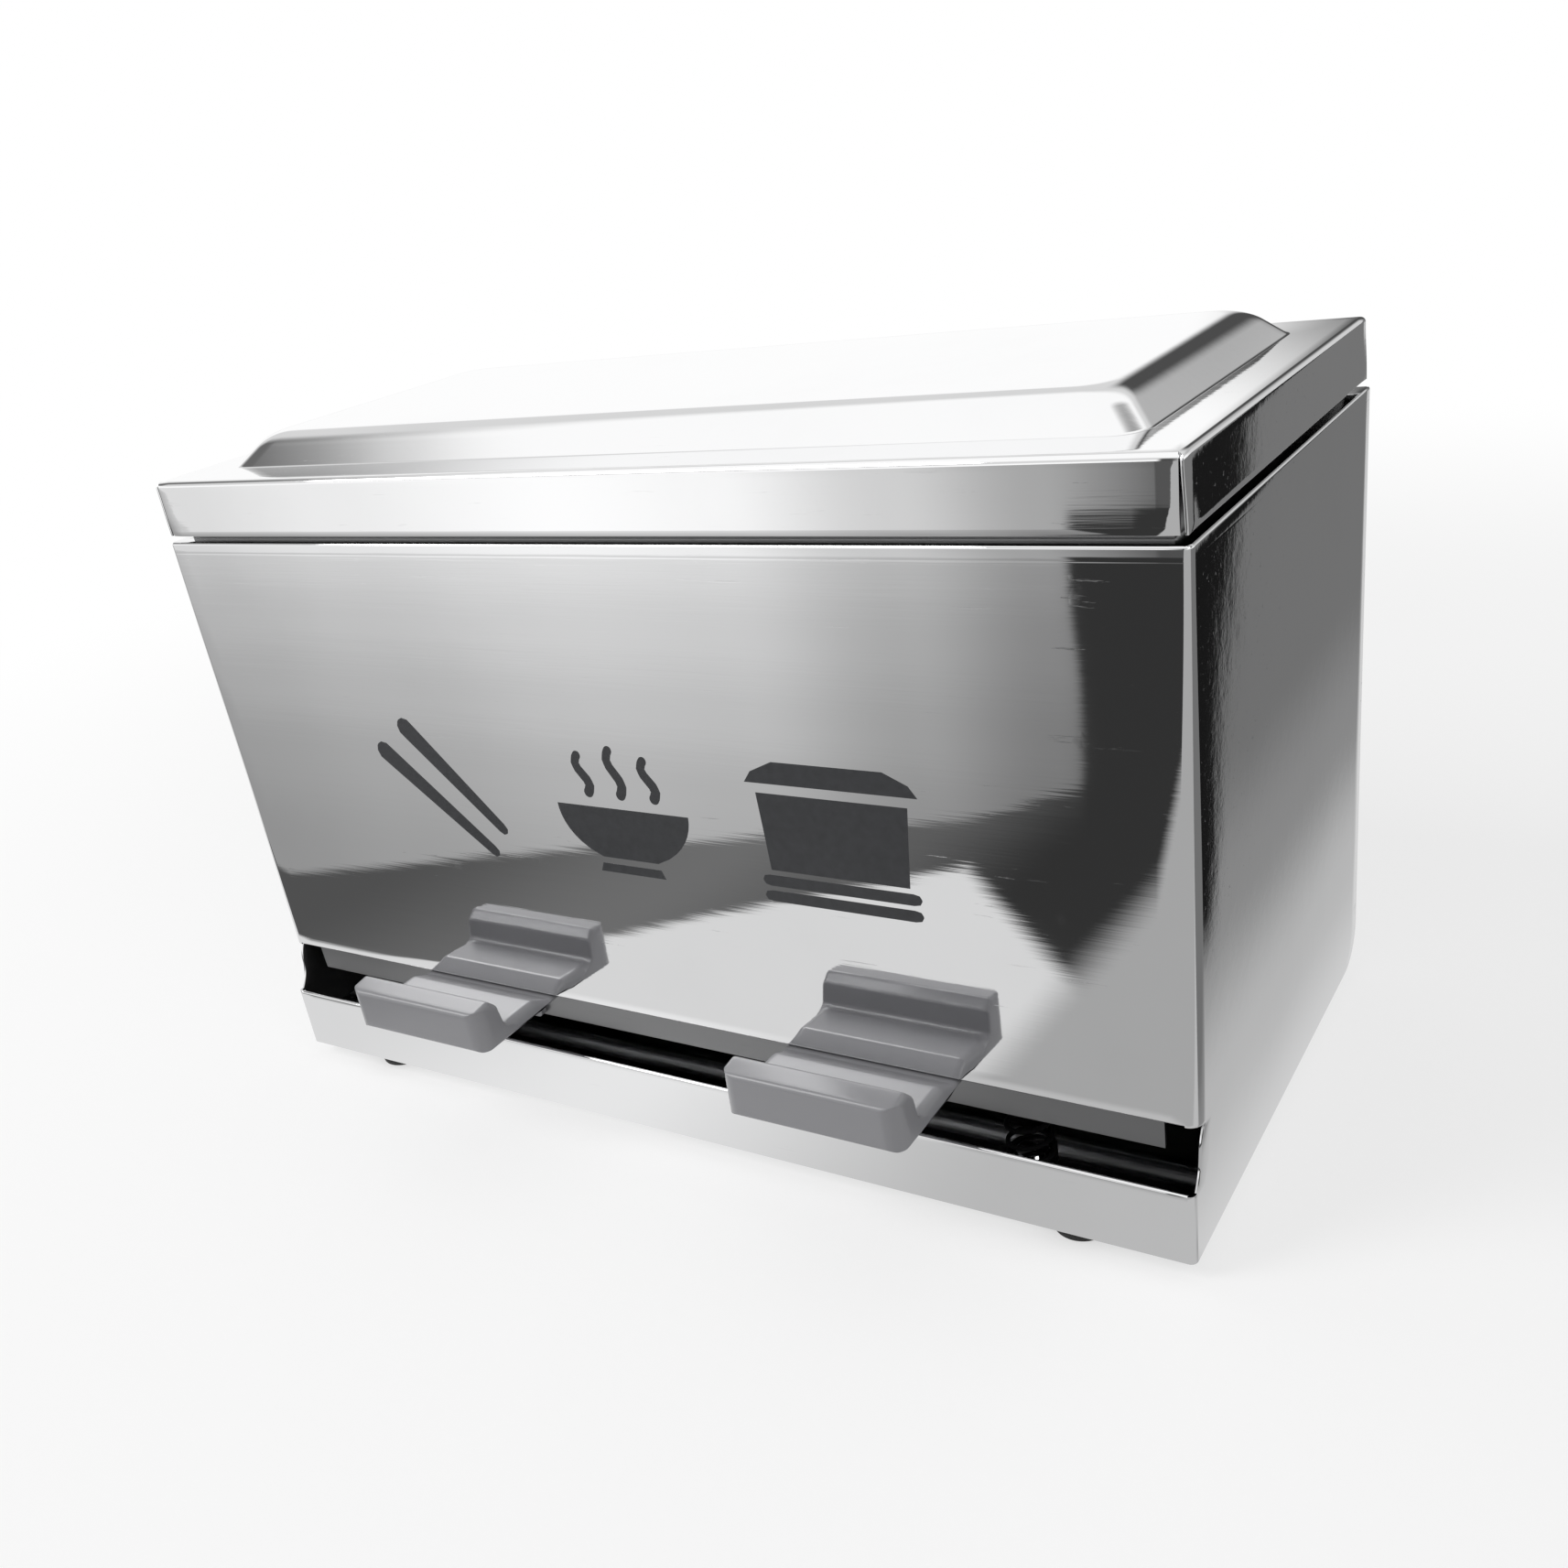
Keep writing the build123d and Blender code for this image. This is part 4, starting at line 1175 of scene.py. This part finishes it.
# ---------------------------------------------------------------- pictograms
def stroke(points, widths, steps=14):
    """Rows across a stroke with round ends, through points given across and up."""
    line = [Vector(point) for point in points]
    runs = [(b - a).length for a, b in zip(line, line[1:])]
    whole = sum(runs)

    def at(distance):
        """Point so far along the line."""
        for index, run in enumerate(runs):
            if distance <= run or index == len(runs) - 1:
                return line[index].lerp(line[index + 1], distance / run)
            distance -= run

    rows = []
    start_half, end_half = widths[0] / 2, widths[1] / 2
    for part in spread(0, 1, steps):
        distance = whole * (1 - math.cos(math.pi * part)) / 2
        half = start_half + (end_half - start_half) * distance / whole
        cap = min(distance, whole - distance)
        if cap < half:
            half *= math.sqrt(max(0.02, 1 - (1 - cap / half) ** 2))
        ahead = at(min(whole, distance + whole / 50)) - at(max(0, distance - whole / 50))
        across = Vector((-ahead.y, ahead.x)).normalized()
        middle = at(distance)
        rows.append([middle + across * half * place for place in (-1, -0.5, 0, 0.5, 1)])
    return rows


def bands(steps, *outline):
    """Rows from side to side of a shape, through (half width, height) points."""
    return [[Vector((half * place, z)) for place in spread(-1, 1, steps)] for half, z in outline]


def wave_line(x, low, high, swing):
    """Points of one curl of steam."""
    return [
        (x + swing * math.sin(2 * math.pi * part), low + (high - low) * part)
        for part in spread(0, 1, 8)
    ]


def chopstick_mark():
    """A pair of tapered chopsticks, drawn in a square from -0.5 to 0.5."""
    return [
        stroke([(-0.6, 0.34), (0.46, -0.5)], (0.16, 0.085)),
        stroke([(-0.3, 0.56), (0.6, -0.3)], (0.16, 0.085)),
    ]


def bowl_mark():
    """A bowl with its foot and three curls of steam."""
    curve = [(0.6 * math.sqrt(1 - 0.82 * part**2), 0.02 - 0.4 * part) for part in spread(0, 1, 8)]
    bowl = bands(16, *curve)
    foot = bands(8, (0.27, -0.43), (0.3, -0.5))
    steam = [
        stroke(wave_line(x, 0.1, top, 0.05), (0.085, 0.07), steps=24)
        for x, top in ((-0.3, 0.44), (0.0, 0.5), (0.3, 0.44))
    ]
    return [bowl, foot] + steam


def holder_mark():
    """A box with a lid over a pair of sticks that lie in it."""
    lid = bands(14, (0.42, 0.5), (0.6, 0.42), (0.66, 0.34))
    box = bands(14, (0.58, 0.27), (0.56, 0.0), (0.54, -0.3))
    rests = [stroke([(-0.62, z), (0.62, z)], (0.085, 0.085)) for z in (-0.38, -0.5)]
    return [lid, box] + rests


class HOLDER_OT_marks(bpy.types.Operator):
    """Print three pictograms on the front: chopsticks, a steaming bowl and a lidded box"""

    bl_idname = "holder.marks"
    bl_label = "Pictograms"

    def execute(self, context):
        settings = context.scene.holder_marks
        form = BodyForm(context.scene.holder_body)
        middle_z = form.base_z + settings.middle
        skin = Skin()
        for place, shapes in zip((-1, 0, 1), (chopstick_mark(), bowl_mark(), holder_mark())):
            for rows in shapes:
                skin.loft(
                    [
                        [
                            form.front_point(
                                place * settings.pitch + spot.x * settings.size,
                                middle_z + spot.y * settings.size,
                                -settings.film,
                            )
                            for spot in row
                        ]
                        for row in rows
                    ]
                )
        piece = skin.object("printed_pictograms")
        for face in piece.data.polygons:
            if face.normal.y > 0:
                face.flip()
        thicken(piece, settings.film * 0.8, 0)
        dress(piece, finishes(context.scene)["printed_ink"], "polished_steel", "root")
        return {"FINISHED"}


# ---------------------------------------------------------------- parts kept from the frame
class HOLDER_OT_fittings(bpy.types.Operator):
    """Finish the sheet and metal parts whose frame shapes are already right"""

    bl_idname = "holder.fittings"
    bl_label = "Fittings"

    def execute(self, context):
        made = finishes(context.scene)
        chosen = {
            "body_sheet": ("back_panel", "bottom_pan"),
            # these inner parts get the darkened sheet, painted shade in the slot and under the
            # lid
            "inner_sheet": ("neck_frame", "chute_floor", "rocker_plate"),
        }
        finish_of = {node: finish for finish, nodes in chosen.items() for node in nodes}
        for name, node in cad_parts.items():
            node.data.materials.clear()
            node.data.materials.append(made[finish_of.get(name, "plain_steel")])
        return {"FINISHED"}


# ---------------------------------------------------------------- stage
def room_glow(shader):
    """Light that polished sheet finds on the floor around it: pale, with soft dark shapes."""
    spot = shader.node("ShaderNodeNewGeometry", output="Position")
    x, y, _ = shader.parts(spot)

    # Ahead of the holder the light fans out from a point behind it and fades towards it.
    source_x, source_y = 0.245, 0.211
    fan = (x - source_x) / (y - source_y)
    tone = (fan / 1.5).ramp(
        (0.27, linear(0.5)),
        (0.3, linear(0.56)),
        (0.38, linear(0.7)),
        (0.49, linear(0.84)),
        (0.6, linear(0.86)),
        (0.8, linear(0.8)),
        (0.95, linear(0.75)),
    )
    fade = (y * -1.0).ramp(
        (0.2, 0.42), (0.314, 0.48), (0.42, 0.57), (0.58, 0.67), (0.8, 0.78), (0.9, 0.97)
    )
    ahead = tone * fade * 1.3
    # A dark band crosses it near the holder and turns away along the right, round a pale wedge.
    turn = (x + 0.04).above(0)
    band = (y + 0.172 + (x + 0.308) * 0.54 + turn * turn * 30).step(-0.006, 0.008)
    shade = ((x + 0.3) / 0.4).ramp(
        (0.1, linear(0.31)), (0.45, linear(0.42)), (0.62, linear(0.36)), (0.8, linear(0.19))
    )
    far = (y * -1.0).step(0.9, 1.06)
    column = (1 - fan.step(0.425, 0.434)).mix(far, 1 - fan.step(0.33, 0.43))
    ahead = ahead.mix(band, shade).mix(column, far * linear(0.24) + linear(0.19))
    wedge = (y + 0.27 - abs(x + 0.013)).step(-0.007, 0.007)
    ahead = ahead.mix(wedge, linear(0.83))
    ahead = ahead.mix(x.step(0.055, 0.075), linear(0.64))
    front = ((x + 0.2) / 0.4).ramp(
        (0.1, linear(0.84)), (0.4, linear(0.9)), (0.75, linear(0.72))
    )
    ahead = ahead.mix(y.step(-0.114, -0.1), front)
    # Beside the holder it falls off outward, and a dark stripe runs back from the front corner.
    beside = (x - 0.15).ramp(
        (0.0, linear(0.8)), (0.02, linear(0.7)), (0.05, linear(0.52)), (0.09, linear(0.43))
    )
    corner_out, corner_ahead = 0.152, 0.057
    out, back = x - corner_out, y + corner_ahead
    near = x.step(0.192, 0.207).above((out - back * 0.9).step(0, 0.012))
    flag = (x - y * 0.294 - 0.1708).step(-0.002, 0.003) * near
    flag = flag * (back + 0.03 - out * 2.9).step(-0.02, 0.02)
    beside = beside.mix(flag, linear(0.09))
    right = x.step(0.14, 0.15) * (back + out * 0.18).step(-0.006, 0.006)
    glow = ahead.mix(y.step(-0.05, -0.02), linear(0.8)).mix(right, beside)
    return glow / POLISH


def floor_material(settings):
    """Pale floor: white to the camera but for the shadow, and uneven in polished sheet."""
    shader = Shader(bpy.data.materials.new("pale_floor"))
    tone = linear(settings.floor_tone)
    matt = shader.node("ShaderNodeBsdfDiffuse", None, {"Color": (tone, tone, tone, 1)})
    to_camera, in_gloss = shader.ray("Camera"), shader.ray("Glossy")
    lit = in_gloss * room_glow(shader) + to_camera
    glow = shader.node("ShaderNodeEmission", None, {"Color": (1, 1, 1, 1), "Strength": lit})
    spot = shader.node("ShaderNodeNewGeometry", output="Position")
    away = shader.node(
        "ShaderNodeVectorMath", {"operation": "LENGTH"}, {0: spot}, output="Value"
    ).step(0.35, 0.9)
    kept = (1 - away) * settings.floor_shade
    share_lit = to_camera * (1 - kept) + in_gloss
    shown = shader.node("ShaderNodeMixShader", None, {0: share_lit, 1: matt, 2: glow})
    return shader.output(shown)


def sky_light(world, settings):
    """Soft light from all round: white low down and overhead, with grey between them."""
    shader = Shader(world)
    spot = shader.node("ShaderNodeTexCoord", output="Generated")
    across, deep, up = shader.parts(spot)
    belt = up.step(0.2, 0.32) * (1 - up.step(0.6, 0.74))
    belt = belt * (0.86 - abs(deep).step(0.08, 0.36) * 0.56)
    # A dark shape stands behind the holder, with a paler right side.
    turn = across / (abs(deep) + 0.001)
    dark = turn.step(-0.34, -0.2) * (1 - turn.step(-0.05, 0.18) * 0.62)
    dark = dark * (1 - turn.step(0.4, 0.8)) * (1 - up.step(0.4, 0.6))
    patch = shader.node(
        "ShaderNodeVectorMath",
        {"operation": "DOT_PRODUCT"},
        {0: spot, 1: Vector((0.41, 0.29, 0.865))},
        output="Value",
    ).step(0.9, 0.985)
    gloss = (1 - belt).mix(dark.above(patch * 0.9), linear(0.3))
    to_camera, in_gloss = shader.ray("Camera"), shader.ray("Glossy")
    level = to_camera + in_gloss * gloss + (1 - to_camera - in_gloss) * settings.sky
    glow = shader.node("ShaderNodeBackground", None, {"Color": (1, 1, 1, 1), "Strength": level})
    shader.output(glow, "ShaderNodeOutputWorld")


def softbox(name, place, size, power, aim_z=0.05):
    """Area light that lies along the holder's front, turned about its length to face it."""
    light = bpy.data.lights.new(name, "AREA")
    light.shape = "RECTANGLE"
    light.size, light.size_y = size
    light.energy = power
    made = bpy.data.objects.new(name, light)
    made.location = place
    made.rotation_euler = (-math.atan2(place[1], place[2] - aim_z), 0, 0)
    bpy.context.scene.collection.objects.link(made)


class HOLDER_OT_stage(bpy.types.Operator):
    """Lay the floor, hang the soft lights and set up the camera"""

    bl_idname = "holder.stage"
    bl_label = "Stage"

    def execute(self, context):
        scene = context.scene
        settings = scene.holder_stage
        skin = Skin()
        rings = [0.3, 1.0, 3.0, settings.floor_size]
        rows = [
            [Vector((reach * math.cos(turn), reach * math.sin(turn), 0)) for turn in around(48)]
            for reach in rings
        ]
        made = skin.loft(rows, ring=True)
        skin.mesh.faces.new(made[0])
        floor = skin.object("floor")
        floor.data.materials.append(floor_material(settings))

        world = bpy.data.worlds.new("studio")
        scene.world = world
        sky_light(world, settings)
        softbox("key_softbox", KEY_PLACE, KEY_SIZE, settings.key)
        softbox("fill_softbox", FILL_PLACE, FILL_SIZE, settings.fill)
        scene.view_settings.view_transform = "Standard"
        self.camera(scene, settings)
        return {"FINISHED"}

    @staticmethod
    def camera(scene, settings):
        """Camera in front of the right corner, looking down at the holder."""
        lens = bpy.data.cameras.new("camera")
        lens.lens = settings.lens
        lens.sensor_width = 36
        lens.shift_x, lens.shift_y = CAMERA_SHIFT
        lens.clip_start, lens.clip_end = 0.01, 50
        camera = bpy.data.objects.new("camera", lens)
        camera.location = CAMERA_PLACE
        camera.rotation_euler = [math.radians(turn) for turn in CAMERA_TURN]
        scene.collection.objects.link(camera)
        scene.camera = camera


# ---------------------------------------------------------------- add-on
SETTINGS = {
    "holder_body": BodySettings,
    "holder_lid": LidSettings,
    "holder_trays": TraySettings,
    "holder_feet": FootSettings,
    "holder_springs": SpringSettings,
    "holder_marks": MarkSettings,
    "holder_finish": FinishSettings,
    "holder_stage": StageSettings,
}
OPERATORS = (
    HOLDER_OT_fittings,
    HOLDER_OT_body,
    HOLDER_OT_lid,
    HOLDER_OT_trays,
    HOLDER_OT_feet,
    HOLDER_OT_springs,
    HOLDER_OT_marks,
    HOLDER_OT_stage,
)


class HOLDER_PT_sidebar(bpy.types.Panel):
    """Operators and settings of the chopstick holder"""

    bl_label = "Chopstick Holder"
    bl_idname = "HOLDER_PT_sidebar"
    bl_space_type = "VIEW_3D"
    bl_region_type = "UI"
    bl_category = "Holder"

    def draw(self, context):
        column = self.layout.column()
        for operator in OPERATORS:
            column.operator(operator.bl_idname)
        for name, group in SETTINGS.items():
            column.label(text=group.__doc__)
            settings = getattr(context.scene, name)
            for entry in group.__annotations__:
                column.prop(settings, entry)


CLASSES = (*SETTINGS.values(), *OPERATORS, HOLDER_PT_sidebar)


def register():
    for made in CLASSES:
        bpy.utils.register_class(made)
    for name, group in SETTINGS.items():
        setattr(bpy.types.Scene, name, PointerProperty(type=group))


def unregister():
    for name in SETTINGS:
        delattr(bpy.types.Scene, name)
    for made in reversed(CLASSES):
        bpy.utils.unregister_class(made)


def main():
    register()
    for operator in OPERATORS:
        getattr(bpy.ops.holder, operator.bl_idname.removeprefix("holder."))()


if __name__ == "__main__":
    main()
